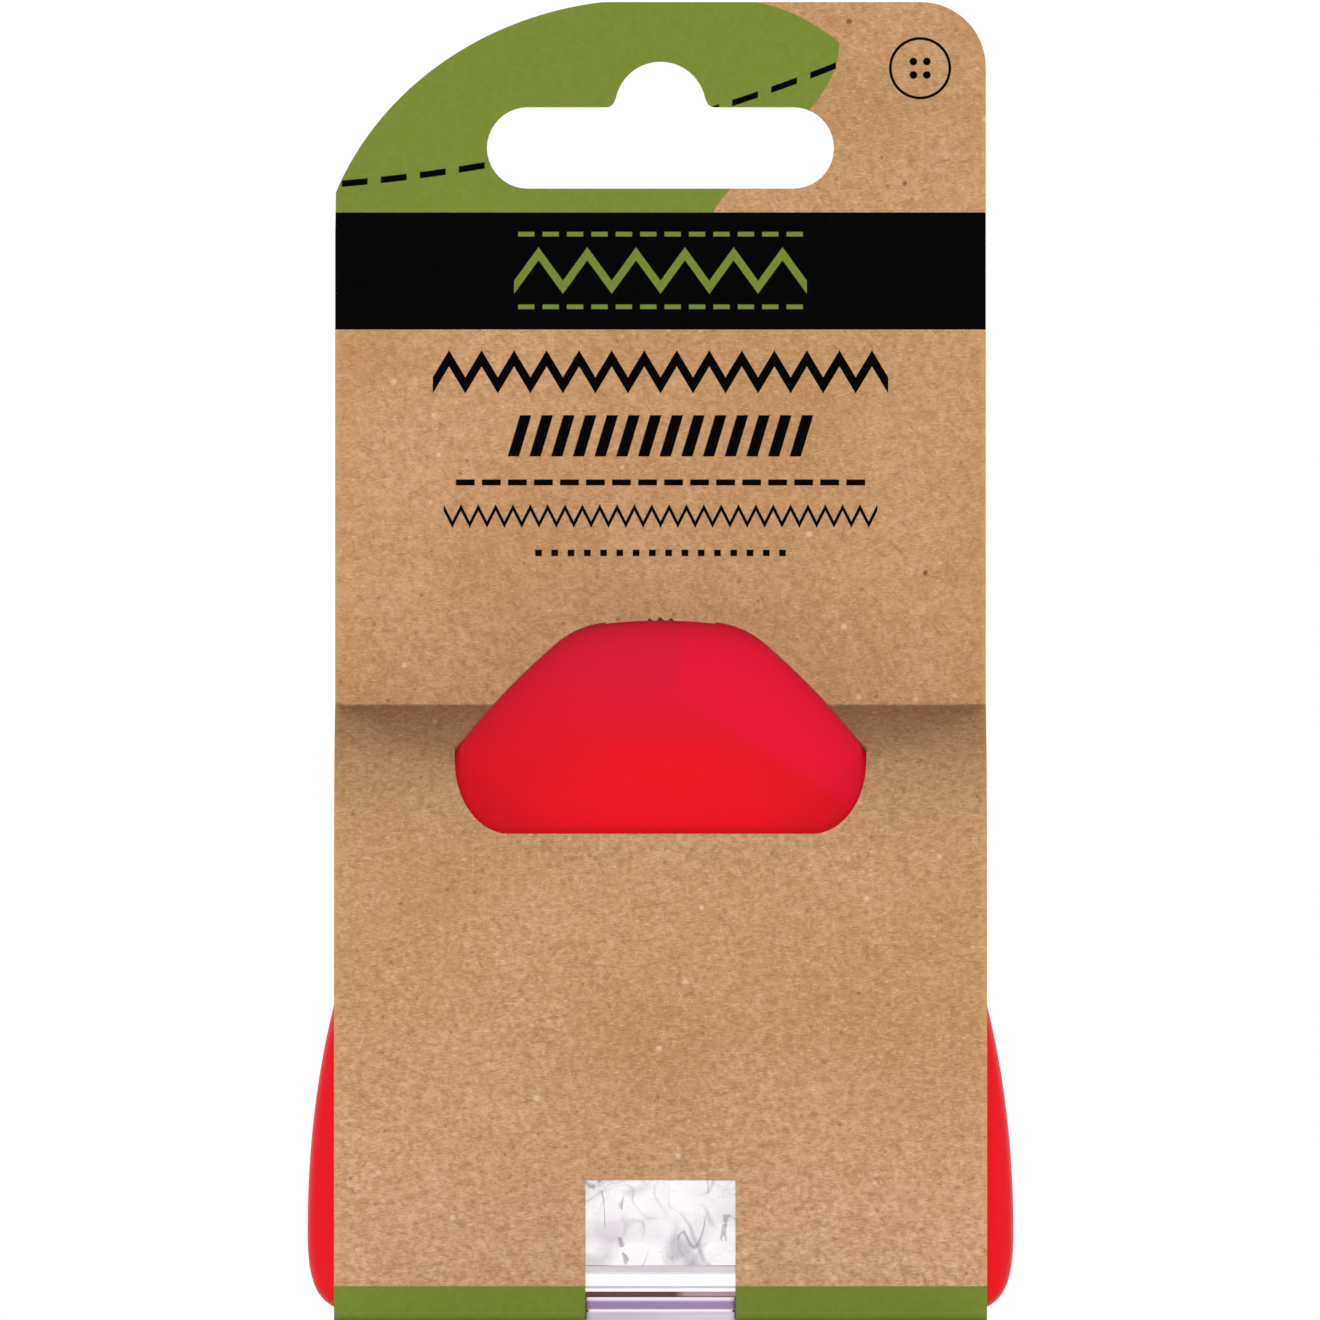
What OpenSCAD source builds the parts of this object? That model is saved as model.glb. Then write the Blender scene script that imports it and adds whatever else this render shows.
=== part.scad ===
// Chalk wheel marker for dressmaking, in its folded hanging card.
// Millimetres. +Z up, front towards -Y, origin on the ground under the middle of the pack.

// Sub-part to draw.

/* [Card] */
// Width of the folded card.
card_w = 60; // [54:0.5:64]
// Height of the card from the ground to its top edge.
card_h = 121.5; // [112:0.5:130]
// Thickness of the card stock.
card_t = 0.5; // [0.4:0.05:0.7]
// Height of the crease where the front panel leaves the header.
crease_z = 56.9; // [54:0.1:60]
// Slope of the front panel at the crease, from the vertical, in degrees.
crease_slope = 67; // [60:1:70]
// Height where the front panel has become upright.
panel_straight_z = 22; // [18:1:28]
// Radius of the header's right corner.
header_corner_r = 6; // [3:0.5:9]
// Sideways radius of the header's large left corner.
header_arc_rx = 30.6; // [24:0.2:32]
// Upright radius of the header's large left corner.
header_arc_rz = 27.6; // [22:0.2:30]
// Width of the hang slot, a euro slot.
hang_w = 32; // [30:0.5:34]
// Height of the long part of the hang slot.
hang_h = 7.5; // [6.5:0.1:8.5]
// Distance from the card's top edge down to the hang slot's lower edge.
hang_drop = 17.2; // [15:0.1:19]
// Radius of the hang slot's raised middle.
hang_hump_r = 4.2; // [3.5:0.1:5]
// Half width of the window round the marker's head.
window_half_w = 18.93; // [17:0.1:20]
// Lower edge of the window round the marker's head.
window_z = 44.8; // [43:0.1:47]
// Gap between the head and the window's edge.
window_gap = 0.15; // [0.1:0.05:0.6]
// How far the card reaches in behind the head, above the window.
window_tuck = 1.2; // [0.6:0.1:1.6]
// Half width of the window over the chalk tank.
low_window_half_w = 6.94; // [6.5:0.05:8]
// Top of the window over the chalk tank.
low_window_z = 13.05; // [11:0.05:15]
// Height the back flap reaches behind the header.
flap_h = 76; // [68:1:90]
// Radius of the back flap's upper corners.
flap_corner_r = 5; // [3:0.5:8]
// Free play between the back flap and the panel next to it.
flap_gap = 0.05; // [0.04:0.01:0.1]

/* [Marker case] */
// Thickness of the case at its widest.
case_t = 12; // [11.4:0.1:12.2]
// Half width of the case at its widest.
case_half_w = 32.5; // [31:0.1:34]
// Height of the tip of the head.
case_top = 64.6; // [63.5:0.1:65.5]
// Height of the case's underside, which rests on the card.
case_bottom = 0.6; // [0.55:0.05:0.9]
// Wall thickness of the case.
wall = 1.3; // [1.1:0.05:1.5]
// How square the case's rim is, a larger number being squarer.
rim_square = 3; // [2.6:0.1:3.6]
// Half of the parting gap between the two case halves.
parting = 0.02; // [0.01:0.01:0.04]
// Half width of the opening round the tank.
mouth_half_w = 12.6; // [12.5:0.05:13.2]
// Top of the opening round the tank.
mouth_z = 19.2; // [19:0.1:21]
// Corner radius of the opening round the tank.
mouth_corner_r = 1; // [0.8:0.1:1.2]
// Play between the case and the parts that slide in it.
slide_gap = 0.3; // [0.25:0.05:0.4]

/* [Tank] */
// Half width of the tank's press end.
tank_half_w = 12.2; // [11.8:0.05:12.3]
// Half depth of the tank's press end.
tank_half_d = 5.2; // [5:0.05:5.3]
// Room left above the press end when it is pushed right in.
press_gap = 0.5; // [0.4:0.1:1]
// Height where the clear tank starts, above its white base.
tank_z = 4.4; // [4.2:0.05:4.8]
// Height of the tank's shoulder.
shoulder_z = 38; // [36:0.2:39]
// Half width of the tank inside the case.
tank_inner_half_w = 10; // [9.5:0.1:10.2]
// Half depth of the tank inside the case.
tank_inner_half_d = 3.5; // [3.2:0.05:3.6]
// Wall of the tank.
tank_wall = 1; // [0.8:0.05:1.2]
// Underside of the white base.
base_z = 2.75; // [2.7:0.05:2.9]
// Underside of the dark gasket.
gasket_z = 2.3; // [2.25:0.05:2.4]
// Underside of the refill plug.
plug_z = 0.15; // [0.1:0.05:0.6]
// Half width of the refill plug's head.
plug_half_w = 6.84; // [6.3:0.02:6.86]
// Half depth of the refill plug's head.
plug_half_d = 4.8; // [4.2:0.1:5]
// Corner radius of the refill plug's head.
plug_corner_r = 0.5; // [0.4:0.1:1.2]
// Height of the grip groove round the refill plug's head.
grip_z = 0.9; // [0.8:0.05:1.2]
// Height and depth of the grip groove.
grip_w = 0.2; // [0.15:0.01:0.3]
// Half width of the refill plug's stem.
stem_half_w = 5.2; // [4.8:0.1:5.4]
// Half depth of the refill plug's stem.
stem_half_d = 2.9; // [2.6:0.1:3]
// Play round the refill plug's stem.
plug_gap = 0.06; // [0.05:0.01:0.1]
// Top of the refill plug's stem.
stem_z = 7.2; // [6.6:0.1:8]

/* [Wheel] */
// Radius of the marking wheel over its teeth.
wheel_r = 5.6; // [5.2:0.05:5.8]
// How far the wheel stands out of the head at rest.
wheel_show = 0.2; // [0.1:0.05:0.4]
// Thickness of the marking wheel.
wheel_t = 1.2; // [1:0.05:1.3]
// Number of teeth on the marking wheel.
wheel_teeth = 34; // [28:1:40]
// Depth of a tooth.
tooth_d = 0.45; // [0.3:0.05:0.6]
// Radius of the axle.
axle_r = 0.5; // [0.45:0.01:0.6]
// Running clearance of the bush on the axle.
axle_play = 0.04; // [0.03:0.01:0.08]
// Outer radius of the brass bush.
bush_r = 1.15; // [1.05:0.05:1.4]
// Play between the wheel's bush and a fork arm.
side_play = 0.06; // [0.05:0.01:0.1]
// Half width of the fork's foot.
fork_half_w = 3.2; // [2.8:0.1:3.6]
// Thickness of a fork arm.
arm_t = 0.85; // [0.8:0.05:0.9]
// Travel of the press end, which pushes the wheel out.
stroke = 2; // [1.6:0.1:2.1]

/* [Neck and spring] */
// Outer radius of the neck.
neck_r = 1.7; // [1.6:0.05:1.8]
// Radius of the chalk channel in the neck.
channel_r = 0.9; // [0.8:0.05:1]
// Underside of the guide plate.
plate_z = 48; // [47.5:0.1:48.4]
// Thickness of the guide plate.
plate_t = 1.4; // [1.2:0.05:1.5]
// Half width of the guide plate.
plate_half_w = 9; // [8.6:0.1:9.1]
// Half depth of the guide plate.
plate_half_d = 2.75; // [2.5:0.05:2.8]
// Mean radius of the return spring.
spring_r = 2.5; // [2.4:0.05:2.55]
// Radius of the spring's wire.
wire_r = 0.22; // [0.18:0.01:0.25]
// Turns of the return spring.
spring_turns = 7; // [5:1:8]

/* [Screws] */
// Distance of the lower screws from the middle.
low_screw_x = 23.5; // [22.5:0.1:24]
// Height of the lower screws.
low_screw_z = 12; // [11:0.2:13]
// Distance of the upper screws from the middle.
high_screw_x = 14.6; // [14.5:0.05:14.8]
// Height of the upper screws.
high_screw_z = 42.6; // [42.4:0.1:43]
// Radius of a screw's thread.
screw_r = 1.05; // [0.95:0.05:1.1]
// Radius of a screw's head.
screw_head_r = 2; // [1.8:0.05:2.1]
// Height of a screw's head.
screw_head_h = 1.2; // [1.1:0.05:1.3]

/* [Hidden] */
$fn = 64;
eps = 0.01;

half_t = case_t / 2;
card_in = half_t + 0.3;
header_y = card_in - flap_gap - card_t / 2;
front_y = -card_in - card_t / 2;
floor_y1 = card_in - flap_gap;
fold_r = 0.8;
ground_y0 = front_y - card_t / 2;

hang_z = card_h - hang_drop;
press_top_z = mouth_z - stroke - press_gap;
case_mid = 28;
wheel_z = case_top + wheel_show - wheel_r;
base_spigot_z = tank_z + 0.7;
tank_roof_z = shoulder_z - tank_wall;
fork_z = plate_z + plate_t + 0.8;
fork_top_z = wheel_z - wheel_r - 0.5;
arm_y0 = wheel_t / 2 + 0.1 + side_play;
arm_y1 = arm_y0 + arm_t;
arm_r = axle_r + 0.5;
pocket_z = wheel_z + arm_r + stroke + 0.4;
pocket_half_d = arm_y1 + 0.35;

// Half thickness of the case at each height.
function case_half(z) = half_t * lookup(z, [[0, 1], [26, 1], [35, 0.958], [40, 0.883],
  [44.8, 0.792], [50, 0.733], [56, 0.708], [64.6, 0.7]]);

// A point on a cubic curve.
function curve(a, b, c, d, t) = pow(1 - t, 3) * a + 3 * pow(1 - t, 2) * t * b
  + 3 * (1 - t) * t * t * c + t * t * t * d;

// Right side of the case outline, from the tip to the underside.
tip_r = 45.6;
tip_a = asin(5.2 / tip_r);
brow_r = 8.21;
brow_a = 40.7;
tip_end = [tip_r * sin(tip_a), case_top - tip_r * (1 - cos(tip_a))];
brow_c = tip_end - brow_r * [sin(tip_a), cos(tip_a)];
brow_end = brow_c + brow_r * [sin(brow_a), cos(brow_a)];
wide_z = 8.24;
outline_right = concat(
  [for (i = [0 : 2]) tip_r * [sin(tip_a * i / 3), cos(tip_a * i / 3)] + [0, case_top - tip_r]],
  [for (i = [0 : 4]) let (a = tip_a + (brow_a - tip_a) * i / 5)
    brow_c + brow_r * [sin(a), cos(a)]],
  [for (i = [0 : 13]) curve(brow_end, brow_end + 18.2 * [cos(brow_a), -sin(brow_a)],
    [case_half_w, wide_z + 25], [case_half_w, wide_z], i / 14)],
  [for (i = [0 : 5]) curve([case_half_w, wide_z], [case_half_w, case_bottom + 1.6],
    [case_half_w - 1.3, case_bottom], [case_half_w - 6.5, case_bottom], i / 6)],
  [for (i = [0 : 3]) [(case_half_w - 6.5) * (1 - i / 4), case_bottom]]);
n_right = len(outline_right);
outline = concat(outline_right, [[0, case_bottom]],
  [for (i = [n_right - 1 : -1 : 1]) [-outline_right[i][0], outline_right[i][1]]]);
n_out = len(outline);
rings = [1, 0.992, 0.972, 0.93, 0.85, 0.7, 0.45];

// A point of the case's surface, inset by a wall w, on one side of the parting plane.
function case_point(i, s, w, side, y0) =
  let (p = outline[i] - [0, case_mid],
    k = s * (1 - 1.3 * w / norm(p)),
    q = [0, case_mid] + k * p,
    d = (case_half(q[1]) - w) * pow(1 - pow(s, 4), 1 / rim_square))
  [q[0], side * max(y0, d), q[1]];

// One half of the case, closed by its flat parting face.
module case_half_solid(side, y0) {
  nr = len(rings);
  pts = concat(
    [for (s = rings) for (i = [0 : n_out - 1]) case_point(i, s, 0, side, y0)],
    [[0, side * case_half(case_mid), case_mid]],
    [for (s = rings) for (i = [0 : n_out - 1]) case_point(i, s, wall, side, y0)],
    [[0, side * (case_half(case_mid) - wall), case_mid]]);
  m = nr * n_out + 1;
  outer = concat(
    [for (r = [0 : nr - 2]) for (i = [0 : n_out - 1]) let (j = (i + 1) % n_out)
      [r * n_out + i, r * n_out + j, (r + 1) * n_out + j]],
    [for (r = [0 : nr - 2]) for (i = [0 : n_out - 1]) let (j = (i + 1) % n_out)
      [r * n_out + i, (r + 1) * n_out + j, (r + 1) * n_out + i]],
    [for (i = [0 : n_out - 1]) let (j = (i + 1) % n_out)
      [(nr - 1) * n_out + i, (nr - 1) * n_out + j, nr * n_out]]);
  inner = [for (f = outer) [m + f[0], m + f[2], m + f[1]]];
  rim = concat(
    [for (i = [0 : n_out - 1]) let (j = (i + 1) % n_out) [i, m + i, m + j]],
    [for (i = [0 : n_out - 1]) let (j = (i + 1) % n_out) [i, m + j, j]]);
  faces = concat(outer, inner, rim);
  polyhedron(pts, side > 0 ? [for (f = faces) [f[0], f[2], f[1]]] : faces);
}

// A flat shape drawn in X and Z, given a depth from y0 to y1.
module slab(y0, y1) {
  translate([0, y1, 0])
    rotate([90, 0, 0])
      linear_extrude(y1 - y0)
        children();
}

// A rectangle with round corners.
module round_rect(hw, hd, r) {
  square([2 * hw, 2 * (hd - r)], center = true);
  square([2 * (hw - r), 2 * hd], center = true);
  for (sx = [-1, 1])
    for (sy = [-1, 1])
      translate([sx * (hw - r), sy * (hd - r)])
        circle(r);
}

// An upright post with round corners from z0 to z1.
module post(hw, hd, r, z0, z1) {
  translate([0, 0, z0])
    linear_extrude(z1 - z0)
      round_rect(hw, hd, r);
}

// A box from one corner to the opposite one.
module block(a, b) {
  translate(a)
    cube(b - a);
}

// Card

crease_run = 15;
straight_run = 24;
panel = concat(
  [[header_y, card_h + 5]],
  [for (i = [0 : 22]) curve([header_y, crease_z],
    [header_y - crease_run * sin(crease_slope), crease_z - crease_run * cos(crease_slope)],
    [front_y, panel_straight_z + straight_run], [front_y, panel_straight_z], i / 22)],
  [for (i = [0 : 6]) [front_y + fold_r * (1 - cos(i * 15)),
    card_t / 2 + fold_r * (1 - sin(i * 15))]],
  [[floor_y1, card_t / 2]]);
np = len(panel);
function along(i) = let (d = panel[min(i + 1, np - 1)] - panel[max(i - 1, 0)]) d / norm(d);
function beside(i, k) = panel[i] + k * card_t / 2 * [-along(i)[1], along(i)[0]]
  / max(0.6, cos(bend(i) / 2));
function bend(i) = (i == 0 || i == np - 1) ? 0
  : let (a = panel[i] - panel[i - 1], b = panel[i + 1] - panel[i])
    acos(min(1, a * b / (norm(a) * norm(b))));

// Front outline of the card, with its large left corner and small right one.
module card_outline() {
  arc_x = header_arc_rx - card_w / 2 - 1.93;
  arc_z = card_h + 0.24 - header_arc_rz;
  arc_a0 = 180 - asin((card_h - arc_z) / header_arc_rz);
  arc_a1 = 180 - acos((card_w / 2 + arc_x) / header_arc_rx);
  polygon(concat(
    [[-card_w / 2, -1], [card_w / 2, -1], [card_w / 2, card_h - header_corner_r]],
    [for (i = [1 : 8]) [card_w / 2 - header_corner_r * (1 - cos(i * 90 / 8)),
      card_h - header_corner_r * (1 - sin(i * 90 / 8))]],
    [for (i = [0 : 18]) let (a = arc_a0 + (arc_a1 - arc_a0) * i / 18)
      [arc_x + header_arc_rx * cos(a), arc_z + header_arc_rz * sin(a)]]));
}

module hang_slot() {
  mid = hang_z + hang_h / 2;
  translate([0, mid])
    square([hang_w - hang_h, hang_h], center = true);
  for (s = [-1, 1])
    translate([s * (hang_w - hang_h) / 2, mid])
      circle(hang_h / 2);
  translate([0, hang_z + hang_h])
    circle(hang_hump_r);
}

// Half width of the marker's outline at a height on its upper half.
function outline_x(z) = lookup(-z, [for (p = outline_right) if (p[1] > wide_z) [-p[1], p[0]]]);

// Window that the marker's head comes through. Above its sides the card passes behind the head.
module head_window() {
  side = [for (d = [-0.5, 0, 0.7, 1.4, 2.1, 2.7, 3.3, 4, 4.7]) let (z = crease_z - d)
    [outline_x(z) + lookup(d, [[1.4, -window_tuck], [2.1, -window_tuck * 0.4], [2.7, 0],
      [3.3, window_gap]]), z]];
  right = concat(side,
    [for (a = [4 : 12 : 88]) [window_half_w - 5 * (1 - cos(a)),
      window_z + 6.6 * (1 - sin(a))]]);
  polygon(concat(right, [for (i = [len(right) - 1 : -1 : 0]) [-right[i][0], right[i][1]]]));
}

module card_sleeve() {
  color([0.76, 0.59, 0.42])
    difference() {
      intersection() {
        rotate([90, 0, 90])
          translate([0, 0, -card_w / 2 - 2])
            linear_extrude(card_w + 4)
              polygon(concat([for (i = [0 : np - 1]) beside(i, 1)],
                [for (i = [np - 1 : -1 : 0]) beside(i, -1)]));
        slab(-card_in - 5, card_in + 5)
          card_outline();
      }
      slab(0, card_in + 5)
        hang_slot();
      slab(-card_in - 5, card_in + 5)
        head_window();
      block([-low_window_half_w, ground_y0 - 1, -1],
        [low_window_half_w, plug_half_d + 0.6, low_window_z]);
    }
}

module card_flap() {
  y0 = card_in;
  r = card_t / 2;
  color([0.74, 0.57, 0.4])
    union() {
      slab(y0, y0 + card_t)
        difference() {
          translate([-card_w / 2, r])
            square([card_w, flap_h - r]);
          for (s = [-1, 1])
            translate([s * (card_w / 2 - flap_corner_r), flap_h - flap_corner_r])
              difference() {
                translate([s > 0 ? 0 : -flap_corner_r - 1, 0])
                  square(flap_corner_r + 1);
                circle(flap_corner_r);
              }
        }
      translate([-card_w / 2, y0 + r, r])
        rotate([0, 90, 0])
          cylinder(h = card_w, r = r);
    }
}

// Case

screw_spots = [[low_screw_x, low_screw_z], [-low_screw_x, low_screw_z],
  [high_screw_x, high_screw_z], [-high_screw_x, high_screw_z]];
function seat_y(p) = case_half(p[1]) * 0.58;

// Opening for the tank, the wheel's slot and the room the fork needs.
module case_openings() {
  slab(-10, 10)
    union() {
      translate([-mouth_half_w, -2])
        square([2 * mouth_half_w, mouth_z + 2 - mouth_corner_r]);
      translate([-mouth_half_w + mouth_corner_r, -2])
        square([2 * (mouth_half_w - mouth_corner_r), mouth_z + 2]);
      for (s = [-1, 1])
        translate([s * (mouth_half_w - mouth_corner_r), mouth_z - mouth_corner_r])
          circle(mouth_corner_r);
    }
  slab(-wheel_t / 2 - 0.4, wheel_t / 2 + 0.4)
    union() {
      for (z = [wheel_z, wheel_z + stroke])
        translate([0, z])
          circle(wheel_r + 0.3);
      translate([-wheel_r - 0.3, wheel_z])
        square([2 * wheel_r + 0.6, stroke]);
    }
  block([-wheel_r - 0.7, -pocket_half_d, fork_z],
    [wheel_r + 0.7, pocket_half_d, pocket_z]);
}

ear_z = 24;
ear_w = 2.6;

// Ribs inside one case half that stop, guide and seat the sliding parts.
module case_ribs(side) {
  deep = half_t - wall / 2;
  for (s = [-1, 1]) {
    // stop under the tank's ear
    rib([s * (tank_inner_half_w + 0.5), ear_z - 1.8], [s * 13.6, ear_z - eps * 2], side, deep);
    // side guide along the tank
    rib([s * (tank_inner_half_w + slide_gap), ear_z + 5.5],
      [s * (tank_inner_half_w + slide_gap + 1.1), shoulder_z - 3], side, deep - 0.5);
    // thrust ledge over the guide plate
    rib([s * 4.6, plate_z + plate_t + eps * 2], [s * 8.4, plate_z + plate_t + 1.2], side,
      case_half(plate_z + 2) - wall / 2);
    // ledge under the guide plate
    rib([s * 4.6, plate_z - 1.2], [s * 8.4, plate_z - eps * 2], side,
      case_half(plate_z) - wall / 2);
    // side stop of the guide plate
    rib([s * (plate_half_w + 0.1), plate_z - 1], [s * (plate_half_w + 1.3), plate_z + plate_t + 1],
      side, case_half(plate_z) - wall / 2);
  }
}

module rib(a, b, side, deep) {
  x0 = min(a[0], b[0]);
  x1 = max(a[0], b[0]);
  if (side > 0)
    block([x0, 0.9, a[1]], [x1, deep, b[1]]);
  else
    block([x0, -deep, a[1]], [x1, -0.9, b[1]]);
}

module front_shell() {
  color([0.9, 0.1, 0.14])
    difference() {
      union() {
        case_half_solid(-1, parting);
        case_ribs(-1);
        for (p = screw_spots)
          translate([p[0], -parting, p[1]])
            rotate([90, 0, 0])
              cylinder(h = case_half(p[1]) * 0.86 - wall / 2, r = 2.5);
      }
      case_openings();
      for (p = screw_spots)
        translate([p[0], 1, p[1]])
          rotate([90, 0, 0])
            cylinder(h = case_half(p[1]) * 0.58 + 1, r = screw_r);
    }
}

module back_shell() {
  color([0.88, 0.1, 0.14])
    difference() {
      union() {
        case_half_solid(1, parting);
        case_ribs(1);
        for (p = screw_spots)
          translate([p[0], parting, p[1]])
            rotate([-90, 0, 0])
              cylinder(h = case_half(p[1]) * 0.86 - wall / 2, r = 2.9);
      }
      case_openings();
      for (p = screw_spots) {
        translate([p[0], -1, p[1]])
          rotate([-90, 0, 0])
            cylinder(h = 9, r = screw_r + 0.15);
        translate([p[0], seat_y(p), p[1]])
          rotate([-90, 0, 0])
            cylinder(h = 9, r = screw_head_r + 0.2);
      }
    }
}

module guide_plate() {
  color([0.93, 0.93, 0.9])
    difference() {
      post(plate_half_w, plate_half_d, 0.8, plate_z, plate_z + plate_t);
      translate([0, 0, plate_z - 1])
        cylinder(h = plate_t + 2, r = neck_r + 0.15);
      for (s = [-1, 1])
        translate([s * 6.6, 0, plate_z - 1])
          cylinder(h = plate_t + 2, r = 0.9);
    }
}

module shell_screws() {
  color([0.7, 0.7, 0.72])
    for (p = screw_spots)
      translate([p[0], 0, p[1]])
        rotate([-90, 0, 0])
          difference() {
            union() {
              translate([0, 0, -case_half(p[1]) * 0.5])
                cylinder(h = case_half(p[1]) * 0.5 + seat_y(p) + 0.2, r = screw_r);
              translate([0, 0, seat_y(p)])
                cylinder(h = screw_head_h, r = screw_head_r);
            }
            for (a = [0, 90])
              rotate([0, 0, a])
                translate([-1.1, -0.22, seat_y(p) + screw_head_h - 0.5])
                  cube([2.2, 0.44, 1]);
          }
}

// Tank

module chalk_tank() {
  color([0.9, 0.92, 0.94, 0.5])
    difference() {
      union() {
        post(tank_half_w, tank_half_d, 2.4, tank_z, press_top_z);
        post(tank_inner_half_w, tank_inner_half_d, 2, press_top_z - 1, shoulder_z);
        for (s = [-1, 1])
          block([min(s * 9, s * (tank_inner_half_w + ear_w)), -2, ear_z],
            [max(s * 9, s * (tank_inner_half_w + ear_w)), 2, ear_z + 2]);
      }
      post(tank_half_w - tank_wall, tank_half_d - tank_wall, 1.6, tank_z - 1,
        press_top_z - tank_wall);
      post(tank_inner_half_w - tank_wall, tank_inner_half_d - tank_wall, 1.2, tank_z,
        tank_roof_z);
      translate([0, 0, tank_roof_z - 1])
        cylinder(h = tank_wall + 2, r = neck_r);
    }
}

module chalk_fill() {
  c = 0.04;
  color([0.96, 0.95, 0.96])
    difference() {
      union() {
        post(tank_half_w - tank_wall - c, tank_half_d - tank_wall - c, 1.5,
          base_spigot_z + c, press_top_z - tank_wall - c);
        post(tank_inner_half_w - tank_wall - c, tank_inner_half_d - tank_wall - c, 1.1,
          press_top_z - 2, tank_roof_z - 1.6);
      }
      post(stem_half_w + 0.35, stem_half_d + 0.35, 1.2, base_spigot_z - 1, stem_z + 0.8);
    }
}

module tank_base() {
  color([0.96, 0.95, 0.95])
    difference() {
      union() {
        post(tank_half_w, tank_half_d - 0.5, 2.2, base_z, tank_z);
        post(tank_half_w - tank_wall, tank_half_d - tank_wall, 1.6, tank_z - 0.2,
          base_spigot_z);
      }
      post(stem_half_w + plug_gap, stem_half_d + plug_gap, 1 + plug_gap, base_z - 1,
        base_spigot_z + 1);
      difference() {
        post(tank_half_w + 1, tank_half_d + 1, 2.2, base_z + 0.35, base_z + 0.52);
        post(tank_half_w - 0.2, tank_half_d - 0.7, 2, base_z + 0.2, base_z + 0.7);
      }
    }
}

module base_gasket() {
  color([0.2, 0.13, 0.11])
    difference() {
      post(tank_half_w - 0.5, tank_half_d - 1, 1.8, gasket_z, base_z);
      post(stem_half_w + 0.15, stem_half_d + 0.15, 1.15, gasket_z - 1, base_z + 1);
    }
}

module refill_plug() {
  color([0.82, 0.78, 0.86])
    difference() {
      union() {
        post(plug_half_w, plug_half_d, plug_corner_r, plug_z, gasket_z - 0.04);
        post(stem_half_w, stem_half_d, 1, gasket_z - 0.1, stem_z);
      }
      difference() {
        post(plug_half_w + 1, plug_half_d + 1, 1.2, grip_z, grip_z + grip_w);
        post(plug_half_w - grip_w, plug_half_d - grip_w, plug_corner_r / 2, grip_z - 1, grip_z + 1);
      }
      post(stem_half_w - 1, stem_half_d - 1, 0.6, gasket_z, stem_z + 1);
      difference() {
        post(stem_half_w + 1, stem_half_d + 1, 1.5, base_spigot_z + 0.55,
          base_spigot_z + 1.15);
        post(stem_half_w - 0.4, stem_half_d - 0.4, 0.8, base_spigot_z + 0.4,
          base_spigot_z + 1.4);
      }
    }
}

module plug_seal() {
  color([0.15, 0.15, 0.16])
    difference() {
      post(stem_half_w - 0.02, stem_half_d - 0.02, 1, base_spigot_z + 0.6,
        base_spigot_z + 1.1);
      post(stem_half_w - 0.4, stem_half_d - 0.4, 0.8, base_spigot_z, base_spigot_z + 2);
    }
}

// Neck, wheel and spring

module neck_tube() {
  color([0.9, 0.9, 0.87])
    difference() {
      union() {
        translate([0, 0, tank_roof_z - 0.8])
          cylinder(h = 0.8, r = neck_r + 0.7);
        translate([0, 0, tank_roof_z - 0.4])
          cylinder(h = fork_z + neck_r - tank_roof_z + 0.4, r = neck_r);
      }
      translate([0, 0, tank_roof_z - 2])
        cylinder(h = fork_z - tank_roof_z + 5, r = channel_r);
    }
}

module nose_fork() {
  color([0.95, 0.95, 0.92])
    difference() {
      union() {
        post(fork_half_w, arm_y1, arm_y1 * 0.4, fork_z, fork_top_z);
        for (s = [-1, 1])
          slab(s > 0 ? arm_y0 : -arm_y1, s > 0 ? arm_y1 : -arm_y0) {
            polygon([[-fork_half_w * 0.94, fork_top_z - arm_r],
              [fork_half_w * 0.94, fork_top_z - arm_r],
              [arm_r * 0.98, wheel_z - arm_r * 0.2], [-arm_r * 0.98, wheel_z - arm_r * 0.2]]);
            translate([0, wheel_z])
              circle(arm_r);
          }
      }
      translate([0, 0, fork_z - neck_r])
        cylinder(h = neck_r * 2 + 0.02, r = neck_r + 0.01);
      translate([0, 0, fork_z])
        cylinder(h = wheel_r * 1.6, r = channel_r * 0.66);
      translate([0, arm_y1 + 1, wheel_z])
        rotate([90, 0, 0])
          cylinder(h = 2 * arm_y1 + 2, r = axle_r);
    }
}

module wheel_axle() {
  color([0.75, 0.75, 0.77])
    translate([0, arm_y1 + 0.05, wheel_z])
      rotate([90, 0, 0])
        cylinder(h = 2 * arm_y1 + 0.1, r = axle_r);
}

module marking_wheel() {
  step = 360 / wheel_teeth;
  color([0.78, 0.79, 0.8])
    translate([0, wheel_t / 2, wheel_z])
      rotate([90, 0, 0])
        linear_extrude(wheel_t)
          difference() {
            polygon([for (i = [0 : wheel_teeth - 1]) for (k = [0, 1])
              let (r = k == 0 ? wheel_r : wheel_r - tooth_d, a = 90 + step * (i + k / 2))
              r * [cos(a), sin(a)]]);
            circle(bush_r);
            for (a = [30 : 60 : 330])
              rotate(a)
                translate([(bush_r + wheel_r - tooth_d) / 2 + 0.1, 0])
                  circle(0.85);
          }
}

module wheel_bush() {
  color([0.8, 0.65, 0.35])
    translate([0, wheel_t / 2 + 0.1, wheel_z])
      rotate([90, 0, 0])
        difference() {
          cylinder(h = wheel_t + 0.2, r = bush_r);
          translate([0, 0, -1])
            cylinder(h = wheel_t + 3, r = axle_r + axle_play);
        }
}

spring_z0 = shoulder_z + wire_r + 0.02;
spring_z1 = plate_z - wire_r - 0.02;
spring_rings = spring_turns * 10;
coil_gap = (spring_z1 - spring_z0 - wire_r * 2) / spring_turns - 2 * wire_r;
echo(spring_gap = coil_gap);

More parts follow.
